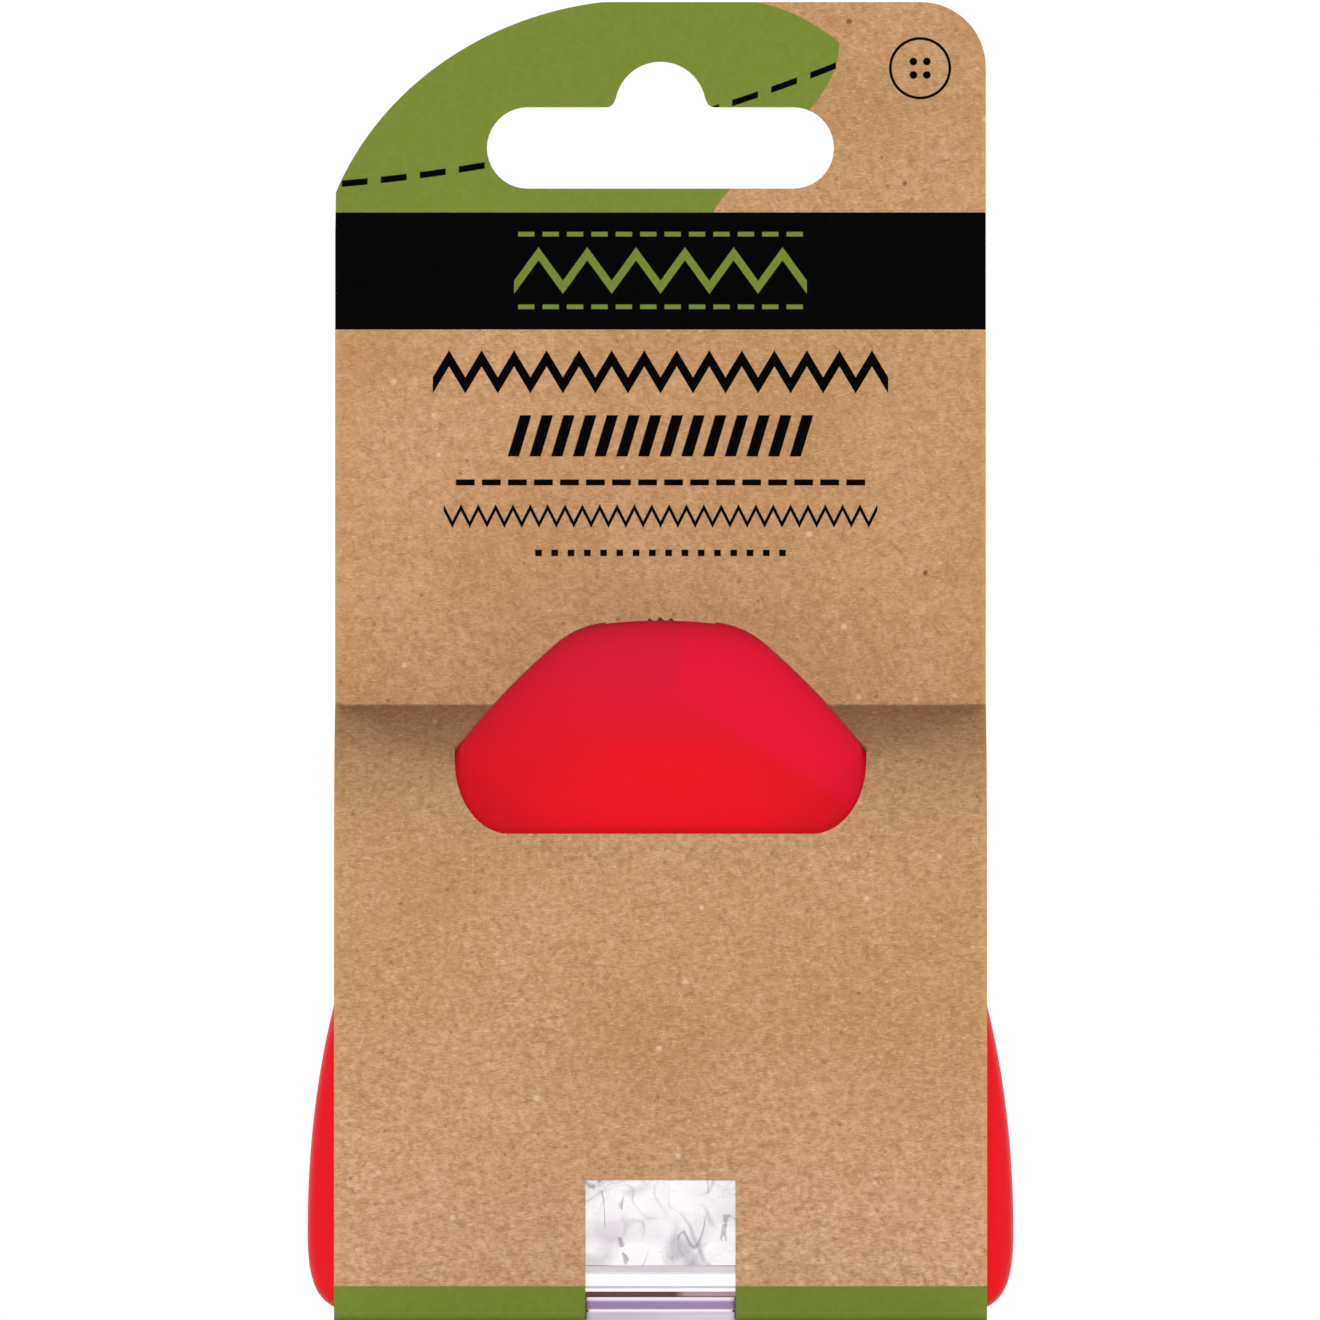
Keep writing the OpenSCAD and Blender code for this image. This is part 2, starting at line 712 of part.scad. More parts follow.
module return_spring() {
  sides = 6;
  rise = [for (i = [0 : spring_rings]) let (t = i / spring_rings, u = t * spring_turns)
    spring_z0 + (spring_z1 - spring_z0) * (u < 0.6 ? 0.02 * u : (u > spring_turns - 0.6
      ? 1 - 0.02 * (spring_turns - u) : 0.012 + (u - 0.6) * 0.976 / (spring_turns - 1.2)))];
  pts = [for (i = [0 : spring_rings]) for (k = [0 : sides - 1])
    let (a = 36 * i, b = 360 * k / sides, r = spring_r + wire_r * cos(b))
    [r * cos(a), r * sin(a), rise[i] + wire_r * sin(b)]];
  n = sides * spring_rings;
  walls = [for (i = [0 : spring_rings - 1]) for (k = [0 : sides - 1])
    let (j = (k + 1) % sides, p = i * sides) for (h = [0, 1])
    h == 0 ? [p + k, p + j, p + sides + j] : [p + k, p + sides + j, p + sides + k]];
  faces = concat([[for (k = [sides - 1 : -1 : 0]) k]], walls, [[for (k = [0 : sides - 1]) n + k]]);
  color([0.7, 0.7, 0.72])
    polyhedron(pts, [for (f = faces) [for (i = [len(f) - 1 : -1 : 0]) f[i]]]);
}

card_sleeve();
card_flap();
front_shell();
back_shell();
guide_plate();
shell_screws();
chalk_tank();
chalk_fill();
tank_base();
base_gasket();
neck_tube();
nose_fork();
wheel_axle();
marking_wheel();
wheel_bush();
refill_plug();
plug_seal();
return_spring();
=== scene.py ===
import math
from bisect import bisect_right
from collections import Counter

import bmesh
import bpy
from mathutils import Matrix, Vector, noise
from mathutils.geometry import delaunay_2d_cdt


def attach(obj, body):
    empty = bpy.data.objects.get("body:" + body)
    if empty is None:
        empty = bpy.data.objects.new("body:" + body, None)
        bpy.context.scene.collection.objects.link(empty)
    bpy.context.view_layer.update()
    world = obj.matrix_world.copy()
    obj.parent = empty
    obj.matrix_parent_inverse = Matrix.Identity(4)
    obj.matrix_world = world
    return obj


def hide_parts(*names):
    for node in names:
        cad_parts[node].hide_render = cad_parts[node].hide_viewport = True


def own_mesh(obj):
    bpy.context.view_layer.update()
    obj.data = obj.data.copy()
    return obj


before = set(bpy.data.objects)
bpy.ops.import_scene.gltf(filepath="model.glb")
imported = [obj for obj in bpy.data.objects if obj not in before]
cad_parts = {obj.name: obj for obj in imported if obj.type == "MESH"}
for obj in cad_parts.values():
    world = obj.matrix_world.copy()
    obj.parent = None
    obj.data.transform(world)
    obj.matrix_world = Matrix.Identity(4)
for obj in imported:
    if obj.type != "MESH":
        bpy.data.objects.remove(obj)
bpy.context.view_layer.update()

MM = 0.001

# Card, in millimetres as in part.scad
CARD_W, CARD_H, CARD_T = 60.0, 121.5, 0.5
# The crease is 0.35 mm lower than there, so that the edge of its bend shows at the photograph's height
CREASE_Z, CREASE_SLOPE, CREASE_RUN = 56.55, 67.0, 15.0
STRAIGHT_Z, STRAIGHT_RUN = 22.0, 24.0
HEADER_Y, FRONT_Y, FLOOR_Y1 = 6.0, -6.55, 6.25
GROUND_Z, FOLD_R = CARD_T / 2, 0.8
CORNER_R, HEADER_ARC_RX, HEADER_ARC_RZ = 6.0, 30.6, 27.6
HANG_W, HANG_H, HANG_Z = 32.0, 7.5, 104.3
HUMP_R, HUMP_FOOT_R = 4.2, 0.8
WINDOW_HALF_W, WINDOW_Z, WINDOW_RX, WINDOW_RZ = 18.93, 44.8, 5.0, 6.6
LOW_WINDOW_HALF_W, LOW_WINDOW_Z, LOW_WINDOW_Y, LOW_WINDOW_R = 6.9, 13.05, 4.8, 0.08
FLAP_Y, FLAP_H, FLAP_R = 6.3, 76.0, 5.0
EDGE_RUN = 0.7

# Print on the card, across and up its flat front
BAND_Z0, BAND_Z1, FOOT_PRINT_Z = 91.3, 102.1, 3.3
BUTTON_X, BUTTON_Z, BUTTON_R, BUTTON_HOLE_AT, BUTTON_HOLE_R = 23.94, 115.4, 2.74, 0.62, 0.36

# Marker case
CASE_TOP, CASE_BOTTOM, CASE_MID, CASE_HALF_W, HALF_T, WALL = 64.6, 0.6, 28.0, 32.5, 6.0, 1.3
PARTING, INSIDE_SHRINK = 0.02, 1.3
TIP_R, TIP_HALF_W, BROW_R, BROW_TURN = 45.6, 5.2, 8.21, 40.7
WIDE_Z, FLANK_LEAVE, FLANK_ARRIVE = 8.24, 18.2, 25.0
FOOT_RUN, FOOT_CORNER_X, FOOT_CORNER_Z = 6.5, 1.3, 1.6
# Heights, and the share of the half thickness at each
DEPTH_KNOTS = [(0, 1.0), (26, 1.0), (35, 0.958), (40, 0.883), (44.8, 0.792), (50, 0.733), (56, 0.708),
               (64.6, 0.7)]
MOUTH_HALF_W, MOUTH_Z, MOUTH_R = 12.6, 19.2, 1.0
SLOT_R, SLOT_Z0, SLOT_Z, SLOT_HALF_D = 5.9, 55.0, 61.2, 1.0
POCKET_HALF_W, POCKET_HALF_D, POCKET_Z0, POCKET_Z1 = 6.3, 1.96, 50.2, 62.6
SCREWS = [(23.5, 12.0), (-23.5, 12.0), (14.6, 42.6), (-14.6, 42.6)]
BOSS_R, SEAT_R, SHANK_R = 2.9, 2.2, 1.2

# Chalk and spring
CHALK_HALF_W, CHALK_HALF_D, CHALK_R, CHALK_Z0, CHALK_Z1 = 11.16, 4.16, 1.5, 5.16, 15.64
UPPER_HALF_W, UPPER_HALF_D, UPPER_R, UPPER_Z0, UPPER_Z1 = 9.0, 2.46, 1.1, 15.6, 35.4
SPRING_R, WIRE_R, SPRING_TURNS, SPRING_Z0, SPRING_Z1 = 2.5, 0.22, 7, 38.24, 47.76

# Photograph: its side, its ground line, its middle and the card's width, in pixels
PHOTO_PX, GROUND_PX, MIDDLE_PX, CARD_PX = 1320, 1322, 660, 653
CARD_SHIFT_PX = 0.5
LENS, SENSOR = 1000.0, 36.0
AMBIENT = 0.08


# Outlines
def lerp(a, b, k):
    return tuple(p + (q - p) * k for p, q in zip(a, b))


def lookup(x, knots):
    """The value at x on straight lines between knots, held at both ends."""
    if x <= knots[0][0]:
        return knots[0][1]
    for (a, fa), (b, fb) in zip(knots, knots[1:]):
        if x <= b:
            return fa + (fb - fa) * (x - a) / (b - a)
    return knots[-1][1]


def bezier(a, b, c, d, t):
    s = 1 - t
    return tuple(s ** 3 * a[i] + 3 * s * s * t * b[i] + 3 * s * t * t * c[i] + t ** 3 * d[i] for i in (0, 1))


def curve(ends, count):
    """Points of a cubic curve, count steps along it."""
    return [bezier(*ends, i / count) for i in range(count + 1)]


def arc(cx, cz, r, start, stop, count, rz=None):
    """Points of an arc between two angles in degrees, count steps along it; rz makes it an ellipse's."""
    turns = [math.radians(start + (stop - start) * i / count) for i in range(count + 1)]
    return [(cx + r * math.cos(a), cz + (rz or r) * math.sin(a)) for a in turns]


def circle(cx, cz, r, count):
    return arc(cx, cz, r, 0, 360, count)[:-1]


def round_box(x0, x1, z0, z1, r, count=10):
    corners = ((x1 - r, z1 - r, 0), (x0 + r, z1 - r, 90), (x0 + r, z0 + r, 180), (x1 - r, z0 + r, 270))
    return [q for cx, cz, a in corners for q in arc(cx, cz, r, a, a + 90, count)]


def mirrored(points):
    """The same points on the left, in the opposite order."""
    return [(-x, z) for x, z in points[::-1]]


def divide(loop, step):
    """A closed outline with points no further than step apart."""
    out = []
    for a, b in zip(loop, loop[1:] + loop[:1]):
        n = max(1, math.ceil(math.dist(a, b) / step))
        out += [lerp(a, b, i / n) for i in range(n)]
    return out


def point_in(p, loop):
    x, y = p
    hit = False
    for (x1, y1), (x2, y2) in zip(loop, loop[1:] + loop[:1]):
        if (y1 > y) != (y2 > y) and x < (x2 - x1) * (y - y1) / (y2 - y1) + x1:
            hit = not hit
    return hit


def case_outline(count):
    """Right side of the marker's outline from tip to underside, with the given fineness."""
    tip_turn = math.degrees(math.asin(TIP_HALF_W / TIP_R))
    tip = arc(0.0, CASE_TOP - TIP_R, TIP_R, 90, 90 - tip_turn, count)
    centre = lerp(tip[-1], (0.0, CASE_TOP - TIP_R), BROW_R / TIP_R)
    brow = arc(*centre, BROW_R, 90 - tip_turn, 90 - BROW_TURN, count)
    x, z = brow[-1]
    a = math.radians(BROW_TURN)
    flank = ((x, z), (x + FLANK_LEAVE * math.cos(a), z - FLANK_LEAVE * math.sin(a)),
             (CASE_HALF_W, WIDE_Z + FLANK_ARRIVE), (CASE_HALF_W, WIDE_Z))
    foot = ((CASE_HALF_W, WIDE_Z), (CASE_HALF_W, CASE_BOTTOM + FOOT_CORNER_Z),
            (CASE_HALF_W - FOOT_CORNER_X, CASE_BOTTOM), (CASE_HALF_W - FOOT_RUN, CASE_BOTTOM))
    under = [((CASE_HALF_W - FOOT_RUN) * (1 - i / (2 * count)), CASE_BOTTOM) for i in range(2 * count)]
    return tip[:-1] + brow[:-1] + curve(flank, 4 * count)[:-1] + curve(foot, 2 * count)[:-1] + under


# Mesh helpers
def new_object(name, verts, faces, mats, smooth_angle=35.0, kinds=None, flat=None):
    """An object from points in mm; kinds has each face's material, flat each point's place in the print."""
    me = bpy.data.meshes.new(name)
    me.from_pydata([tuple(c * MM for c in v) for v in verts], [], faces)
    me.validate()
    me.update()
    if kinds:
        me.polygons.foreach_set("material_index", kinds)
    if flat:
        uv = me.uv_layers.new(name="flat")
        for lp in me.loops:
            uv.data[lp.index].uv = [c * MM for c in flat[lp.vertex_index % len(flat)]]
    for m in mats:
        me.materials.append(m)
    finish_mesh(me, smooth_angle)
    return linked(name, me)


def linked(name, data):
    """A new object for data, in the scene."""
    o = bpy.data.objects.new(name, data)
    bpy.context.scene.collection.objects.link(o)
    return o


def finish_mesh(me, smooth_angle):
    bm = bmesh.new()
    bm.from_mesh(me)
    bmesh.ops.recalc_face_normals(bm, faces=bm.faces)
    bm.to_mesh(me)
    bm.free()
    me.shade_smooth()
    me.set_sharp_from_angle(angle=math.radians(smooth_angle))


def bands(start, rows, n, closed=False):
    """Quads between neighbouring rows of n points each, the first point being number start."""
    faces = []
    for r in range(rows if closed else rows - 1):
        a, b = start + r * n, start + (r + 1) % rows * n
        faces += [(a + i, a + (i + 1) % n, b + (i + 1) % n, b + i) for i in range(n)]
    return faces


def applied(o, *setups):
    """Runs modifiers on o and keeps only their result."""
    for kind, values in setups:
        m = o.modifiers.new(kind.lower(), kind)
        for key, value in values.items():
            setattr(m, key, value)
    dg = bpy.context.evaluated_depsgraph_get()
    me = bpy.data.meshes.new_from_object(o.evaluated_get(dg), preserve_all_data_layers=True, depsgraph=dg)
    o.modifiers.clear()
    old = o.data
    o.data = me
    bpy.data.meshes.remove(old)


def cut(o, cutters):
    for c in cutters:
        applied(o, ("BOOLEAN", {"operation": "DIFFERENCE", "object": c, "solver": "EXACT"}))
        bpy.data.objects.remove(c, do_unlink=True)


def prism_y(name, loop, y0, y1):
    """A cutter: a closed outline in x and z, from y0 to y1."""
    n = len(loop)
    verts = [(x, y, z) for y in (y0, y1) for x, z in loop]
    faces = [tuple(range(n)), tuple(range(2 * n - 1, n - 1, -1))] + bands(0, 2, n)
    return new_object(name, verts, faces, [])


def softened(node, name, width, mat):
    """A copy of a CAD node's mesh with its sharp edges rounded."""
    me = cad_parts[node].data.copy()
    me.name = name
    o = linked(name, me)
    bm = bmesh.new()
    bm.from_mesh(me)
    bmesh.ops.remove_doubles(bm, verts=bm.verts, dist=2e-6)
    bmesh.ops.dissolve_limit(bm, angle_limit=math.radians(1.0), verts=bm.verts, edges=bm.edges)
    bm.to_mesh(me)
    bm.free()
    applied(o, ("BEVEL", {"width": width * MM, "segments": 2, "limit_method": "ANGLE",
                          "angle_limit": math.radians(35.0), "use_clamp_overlap": True}),
            ("TRIANGULATE", {}))
    finish_mesh(o.data, 32.0)
    o.data.materials.clear()
    o.data.materials.append(mat)
    return o


# Material helpers
class V:
    """A value in a node tree, with arithmetic."""

    def __init__(self, nt, sock):
        self.nt, self.s = nt, sock

    def op(self, kind, *others, clamp=False):
        n = self.nt.nodes.new("ShaderNodeMath")
        n.operation = kind
        n.use_clamp = clamp
        for i, x in enumerate((self,) + others):
            if isinstance(x, V):
                self.nt.links.new(x.s, n.inputs[i])
            else:
                n.inputs[i].default_value = x
        return V(self.nt, n.outputs[0])

    def __add__(self, other):
        return self.op("ADD", other)

    def __sub__(self, other):
        return self.op("SUBTRACT", other)

    def __mul__(self, other):
        return self.op("MULTIPLY", other)

    def __abs__(self):
        return self.op("ABSOLUTE")

    def above(self, limit):
        return self.op("GREATER_THAN", limit)

    def below(self, limit):
        return self.op("LESS_THAN", limit)

    def between(self, low, high):
        return self.above(low) * self.below(high)

    def least(self, other):
        return self.op("MAXIMUM", other)

    def wrap(self, size):
        return self.op("WRAP", size, 0.0)

    def clamp(self):
        return self.op("ADD", 0.0, clamp=True)

    def ramp(self, slope, offset):
        """A straight line, held between 0 and 1."""
        return (self * slope + offset).clamp()

    def soft_below(self, limit, edge):
        """1 below limit, 0 above it, with a soft edge."""
        return ((self * -1.0 + limit) * (1.0 / edge) + 0.5).clamp()

    def near(self, middle, reach, edge):
        """1 within reach of middle, 0 further away, with a soft edge."""
        return abs(self - middle).soft_below(reach, edge)


def distance(a, b):
    """Length of the line whose two sides are a and b."""
    return (a * a + b * b).op("SQRT")


def noise_v(nt, coord, scale, detail=3.0, rough=0.5, distort=0.0):
    n = nt.nodes.new("ShaderNodeTexNoise")
    n.inputs["Scale"].default_value = scale
    n.inputs["Detail"].default_value = detail
    n.inputs["Roughness"].default_value = rough
    n.inputs["Distortion"].default_value = distort
    nt.links.new(coord, n.inputs["Vector"])
    return V(nt, n.outputs["Fac"])


def voronoi_v(nt, coord, scale):
    n = nt.nodes.new("ShaderNodeTexVoronoi")
    n.inputs["Scale"].default_value = scale
    nt.links.new(coord, n.inputs["Vector"])
    return V(nt, n.outputs["Distance"])


def mapped(nt, coord, scale=(1, 1, 1), rotate=(0, 0, 0), move=(0, 0, 0)):
    n = nt.nodes.new("ShaderNodeMapping")
    n.inputs["Scale"].default_value = scale
    n.inputs["Rotation"].default_value = [math.radians(a) for a in rotate]
    n.inputs["Location"].default_value = move
    nt.links.new(coord, n.inputs["Vector"])
    return n.outputs["Vector"]


def millimetres(nt, coord):
    """The three coordinates in millimetres."""
    sep = nt.nodes.new("ShaderNodeSeparateXYZ")
    nt.links.new(coord, sep.inputs[0])
    return [V(nt, sep.outputs[axis]) * 1000.0 for axis in "XYZ"]


def mix_color(nt, fac, a, b):
    n = nt.nodes.new("ShaderNodeMix")
    n.data_type = "RGBA"
    for sock, x in ((n.inputs["Factor"], fac), (n.inputs["A"], a), (n.inputs["B"], b)):
        if isinstance(x, V):
            nt.links.new(x.s, sock)
        elif isinstance(x, tuple):
            sock.default_value = (*x, 1.0)
        else:
            nt.links.new(x, sock)
    return n.outputs["Result"]


def bump(nt, height, strength, distance_mm):
    n = nt.nodes.new("ShaderNodeBump")
    n.inputs["Strength"].default_value = strength
    n.inputs["Distance"].default_value = distance_mm * MM
    nt.links.new(height.s, n.inputs["Height"])
    return n.outputs["Normal"]


def material(name):
    m = bpy.data.materials.new(name)
    m.use_nodes = True
    nt = m.node_tree
    return m, nt, nt.nodes["Principled BSDF"], nt.nodes.new("ShaderNodeTexCoord").outputs["Object"]


def finish_look(nt, bsdf, base, roughness, normal, **plain):
    """Joins colour, roughness and normal to the shader; plain sets further sockets to one value all over."""
    nt.links.new(base, bsdf.inputs["Base Color"])
    nt.links.new(normal, bsdf.inputs["Normal"])
    if isinstance(roughness, V):
        nt.links.new(roughness.s, bsdf.inputs["Roughness"])
    else:
        bsdf.inputs["Roughness"].default_value = roughness
    for name, value in plain.items():
        bsdf.inputs[name.replace("_", " ")].default_value = value


def rgb(r, g, b):
    """A linear colour from 0-255 screen values."""
    def lin(c):
        c /= 255.0
        return c / 12.92 if c <= 0.04045 else ((c + 0.055) / 1.055) ** 2.4
    return (lin(r), lin(g), lin(b))


# Kraft board and its print
GREEN = rgb(105, 123, 46)


def strands(nt, coord, lays, fineness, detail, slope, offset):
    """Thin fibres; each lay is a direction in degrees and a shift that gives it fibres of its own."""
    found = None
    for turn, shift in lays:
        lay = mapped(nt, mapped(nt, coord, rotate=(0, turn, 0)), fineness, move=(shift, shift, shift))
        f = noise_v(nt, lay, 1.0, detail).ramp(slope, offset)
        found = found.least(f) if found else f
    return found


def kraft_colour(nt, coord):
    """Brown board: cloudy tone, fine grain, fibres in all directions, a few dark and light specks."""
    cloud = noise_v(nt, coord, 55.0, 4.0, 0.55)
    grain = noise_v(nt, coord, 1500.0, 3.0, 0.65)
    fleck = noise_v(nt, mapped(nt, coord, (800.0, 800.0, 2100.0)), 1.0, 4.0, 0.68)
    streak = noise_v(nt, mapped(nt, coord, (2100.0, 2100.0, 6200.0)), 1.0, 2.0)
    paler = millimetres(nt, coord)[2].ramp(-1.0 / 22.0, 1.3)
    fibres = strands(nt, coord, ((25.0, 0.0), (-38.0, 0.3), (80.0, 0.7), (-75.0, 1.1)),
                     (620.0, 60.0, 3600.0), 2.0, 9.0, -5.58)
    dark = strands(nt, coord, ((10.0, 2.0), (64.0, 2.6), (-52.0, 3.1)),
                   (640.0, 60.0, 3400.0), 1.0, 12.0, -8.16)
    speck = voronoi_v(nt, coord, 190.0).soft_below(0.055, 0.03) * noise_v(nt, coord, 260.0, 1.0).above(0.6)
    dots = voronoi_v(nt, mapped(nt, coord, move=(0.9, 0.4, 0.2)), 560.0).soft_below(0.1, 0.08)
    dots = dots * noise_v(nt, coord, 420.0, 1.0).above(0.54)
    pale = voronoi_v(nt, mapped(nt, coord, move=(0.5, 0.2, 0.7)), 230.0).soft_below(0.06, 0.04)
    base = mix_color(nt, cloud.ramp(2.4, -0.7), rgb(176, 134, 93), rgb(193, 154, 116))
    for share, tint in ((paler * 0.5, rgb(211, 173, 144)),
                        (fleck.ramp(3.8, -1.45) * 0.46, rgb(162, 119, 73)),
                        (grain.ramp(3.8, -1.5) * 0.55, rgb(151, 111, 73)),
                        (streak.ramp(5.0, -2.6) * 0.5, rgb(141, 96, 60)),
                        (streak.ramp(-5.0, 2.05) * 0.5, rgb(220, 189, 154)),
                        (fibres * 0.24, rgb(207, 175, 140)),
                        (dark * 0.3, rgb(120, 83, 50)),
                        (speck * 0.75, rgb(81, 56, 39)),
                        (dots * 0.55, rgb(124, 85, 52)),
                        (pale * 0.4, rgb(218, 198, 172))):
        base = mix_color(nt, share, base, tint)
    relief = grain * 0.5 + fibres * 0.6 + cloud * 0.4
    return base, relief, grain, cloud


def plain_kraft(name, edge=False):
    m, nt, bsdf, coord = material(name)
    base, relief, _, _ = kraft_colour(nt, coord)
    if edge:
        layer = noise_v(nt, mapped(nt, coord, (300.0, 9000.0, 300.0)), 1.0, 2.0)
        base = mix_color(nt, layer.ramp(2.0, -0.6) * 0.7, base, rgb(158, 112, 70))
    finish_look(nt, bsdf, base, 0.86, bump(nt, relief, 0.35, 0.05), Specular_IOR_Level=0.25)
    return m


def lane(u, pitch):
    """Distance from the middle of each of the stitches that repeat across the card."""
    return abs((u + 100.0 * pitch).wrap(pitch) - pitch / 2)


def zigzag(u, v, half_w, z0, z1, period, stroke):
    """A zigzag stitch between z0 and z1; stroke is its thickness across the row."""
    mid, amp = (z0 + z1) / 2, (z1 - z0) / 2 - stroke / 2
    wave = (u + 100.0 * period).op("PINGPONG", period / 2) * (4.0 * amp / period) + (mid - amp)
    return (v - wave).near(0.0, stroke / 2, 0.06) * u.between(-half_w, half_w)


def bars(u, v, half_w, z0, z1, pitch, width, lean):
    """Slanted satin-stitch bars."""
    along = u + (v - (z0 + z1) / 2) * lean
    row = along.between(-half_w, half_w) * v.between(z0, z1)
    return lane(along, pitch).soft_below(width / 2, 0.06) * row


def dashes(u, v, half_w, z, pitch, length, thick):
    """A row of running stitches."""
    row = v.near(z, thick / 2, 0.05) * u.between(-half_w, half_w)
    return lane(u, pitch).soft_below(length / 2, 0.05) * row


def green_print(u, v):
    """The field over the band, with its wavy right side, and the foot."""
    rise = ((v - BAND_Z1) * (math.pi * 0.62 / (CARD_H - BAND_Z1))).op("SINE")
    limit = rise.least(0.0).op("POWER", 1.3) * 11.6 + 4.9
    shoulder = ((v * -1.0 + (CARD_H + 0.2)) * 0.25).least(0.0).op("SQRT") * 10.0 + 6.6
    field = (u - limit.op("MINIMUM", shoulder)).soft_below(0.0, 0.08) * v.above(BAND_Z1)
    return field.least(v.soft_below(FOOT_PRINT_Z, 0.08))


def black_print(u, v):
    """The band, a running stitch along the field, a button and the stitch samples."""
    run = u + CARD_W / 2
    sweep = run * run * 0.0034 + run * 0.08 + 104.7
    seam = (v - sweep).near(0.0, 0.3, 0.06) * u.below(16.2) * run.wrap(3.6).near(1.8, 1.2, 0.1)
    du, dv = u - BUTTON_X, v - BUTTON_Z
    ring = distance(du, dv).near(BUTTON_R, 0.13, 0.05)
    holes = distance(abs(du) - BUTTON_HOLE_AT, abs(dv) - BUTTON_HOLE_AT).soft_below(BUTTON_HOLE_R, 0.06)
    black = v.between(BAND_Z0, BAND_Z1)
    for shape in (seam, ring, holes,
                  zigzag(u, v, 21.0, 85.4, 89.4, 3.0, 1.5),
                  bars(u, v, 14.0, 79.6, 83.4, 2.0, 1.05, -0.3),
                  dashes(u, v, 19.2, 77.2, 2.4, 1.75, 0.55),
                  zigzag(u, v, 20.0, 73.0, 75.2, 1.6, 0.62),
                  dashes(u, v, 12.0, 70.7, 1.5, 0.62, 0.6)):
        black = black.least(shape)
    return black


def printed_kraft(name):
    """The front of the card. Its UV map holds flat places in metres: across, and up the front."""
    m, nt, bsdf, coord = material(name)
    uv = nt.nodes.new("ShaderNodeUVMap")
    uv.uv_map = "flat"
    u, v, _ = millimetres(nt, uv.outputs["UV"])
    base, relief, grain, cloud = kraft_colour(nt, coord)
    # painted shade under the crease, darkest at it and fading over shade_h millimetres down the front; the
    # cut sides are rubbed warm
    shade_h = 7.5
    under = v.ramp(1.0 / shade_h, 1.0 - CREASE_Z / shade_h) * v.below(CREASE_Z + 0.05)
    base = mix_color(nt, under * under * 0.27, base, rgb(88, 66, 40))
    base = mix_color(nt, (abs(u) - (CARD_W / 2 - EDGE_RUN)).clamp() * 0.35, base, rgb(206, 150, 88))
    # ink soaks in unevenly, so the brown shows through it a little
    thin = (grain * 2.0 + cloud * 0.8 - 0.95).clamp()
    green, black = green_print(u, v), black_print(u, v)
    green_ink = mix_color(nt, thin * 0.45, GREEN, rgb(129, 134, 66))
    green_ink = mix_color(nt, cloud.ramp(2.0, -0.6) * 0.35, green_ink, rgb(90, 108, 35))
    base = mix_color(nt, green, base, green_ink)
    black_ink = mix_color(nt, thin * 0.1, (0.0004, 0.0004, 0.0005), (0.012, 0.010, 0.008))
    base = mix_color(nt, black, base, black_ink)
    # stitches on the band, in the green
    motif = zigzag(u, v, 13.5, 94.6, 98.9, 4.5, 1.2)
    for z in (100.1, 93.4):
        motif = motif.least(dashes(u, v, 13.5, z, 2.25, 1.5, 0.42))
    base = mix_color(nt, motif, base, mix_color(nt, thin * 0.3, GREEN, rgb(88, 103, 39)))
    roughness = green.least(black) * -0.12 + grain * 0.08 + 0.86
    finish_look(nt, bsdf, base, roughness, bump(nt, relief, 0.3, 0.05), Specular_IOR_Level=0.03)
    return m


# Folded card
def card_path():
    """Middle of the board from its top edge down the front and back along the ground: y and z."""
    a = math.radians(CREASE_SLOPE)
    crease = (HEADER_Y, CREASE_Z)
    leave = (HEADER_Y - CREASE_RUN * math.sin(a), CREASE_Z - CREASE_RUN * math.cos(a))
    front = curve((crease, leave, (FRONT_Y, STRAIGHT_Z + STRAIGHT_RUN), (FRONT_Y, STRAIGHT_Z)), 90)
    bend = curve(((HEADER_Y, CREASE_Z + 0.25), (HEADER_Y, CREASE_Z + 0.05), crease, front[1]), 8)
    back_y = FRONT_Y + FOLD_R
    return ([(HEADER_Y, CARD_H - 64.0 * i / 60) for i in range(61)] + bend[:-1] + front[1:]
            + [(FRONT_Y, STRAIGHT_Z - i) for i in range(1, 21)]
            + arc(back_y, GROUND_Z + FOLD_R, FOLD_R, 180, 270, 9)
            + [(back_y + (FLOOR_Y1 - back_y) * i / 14, GROUND_Z) for i in range(1, 15)])


class Path:
    """A bent line in y and z that is measured along its length."""

    def __init__(self, points):
        self.p = points
        self.s = [0.0]
        for a, b in zip(points, points[1:]):
            self.s.append(self.s[-1] + math.dist(a, b))
        self.length = self.s[-1]
        self.n = []
        for a, b in zip(points[:1] + points[:-1], points[1:] + points[-1:]):
            m = math.dist(a, b)
            self.n.append(((b[1] - a[1]) / m, (a[0] - b[0]) / m))

    def find(self, s):
        """Place and direction of the front side at a distance along the line."""
        s = min(max(s, 0.0), self.length)
        i = min(bisect_right(self.s, s), len(self.s) - 1) - 1
        k = (s - self.s[i]) / (self.s[i + 1] - self.s[i])
        ny, nz = lerp(self.n[i], self.n[i + 1], k)
        m = math.hypot(ny, nz)
        return *lerp(self.p[i], self.p[i + 1], k), ny / m, nz / m

    def at_z(self, z):
        """Distance along the board for a height on the header or the front."""
        for i, ((_, a), (_, b)) in enumerate(zip(self.p, self.p[1:])):
            if a >= z >= b and a > b:
                return self.s[i] + (a - z) / (a - b) * (self.s[i + 1] - self.s[i])

    def at_y(self, y):
        """Distance along the board for a depth on the ground panel."""
        i = len(self.p) - 2
        while self.p[i][0] > y:
            i -= 1
        k = (y - self.p[i][0]) / (self.p[i + 1][0] - self.p[i][0])
        return self.s[i] + k * (self.s[i + 1] - self.s[i])


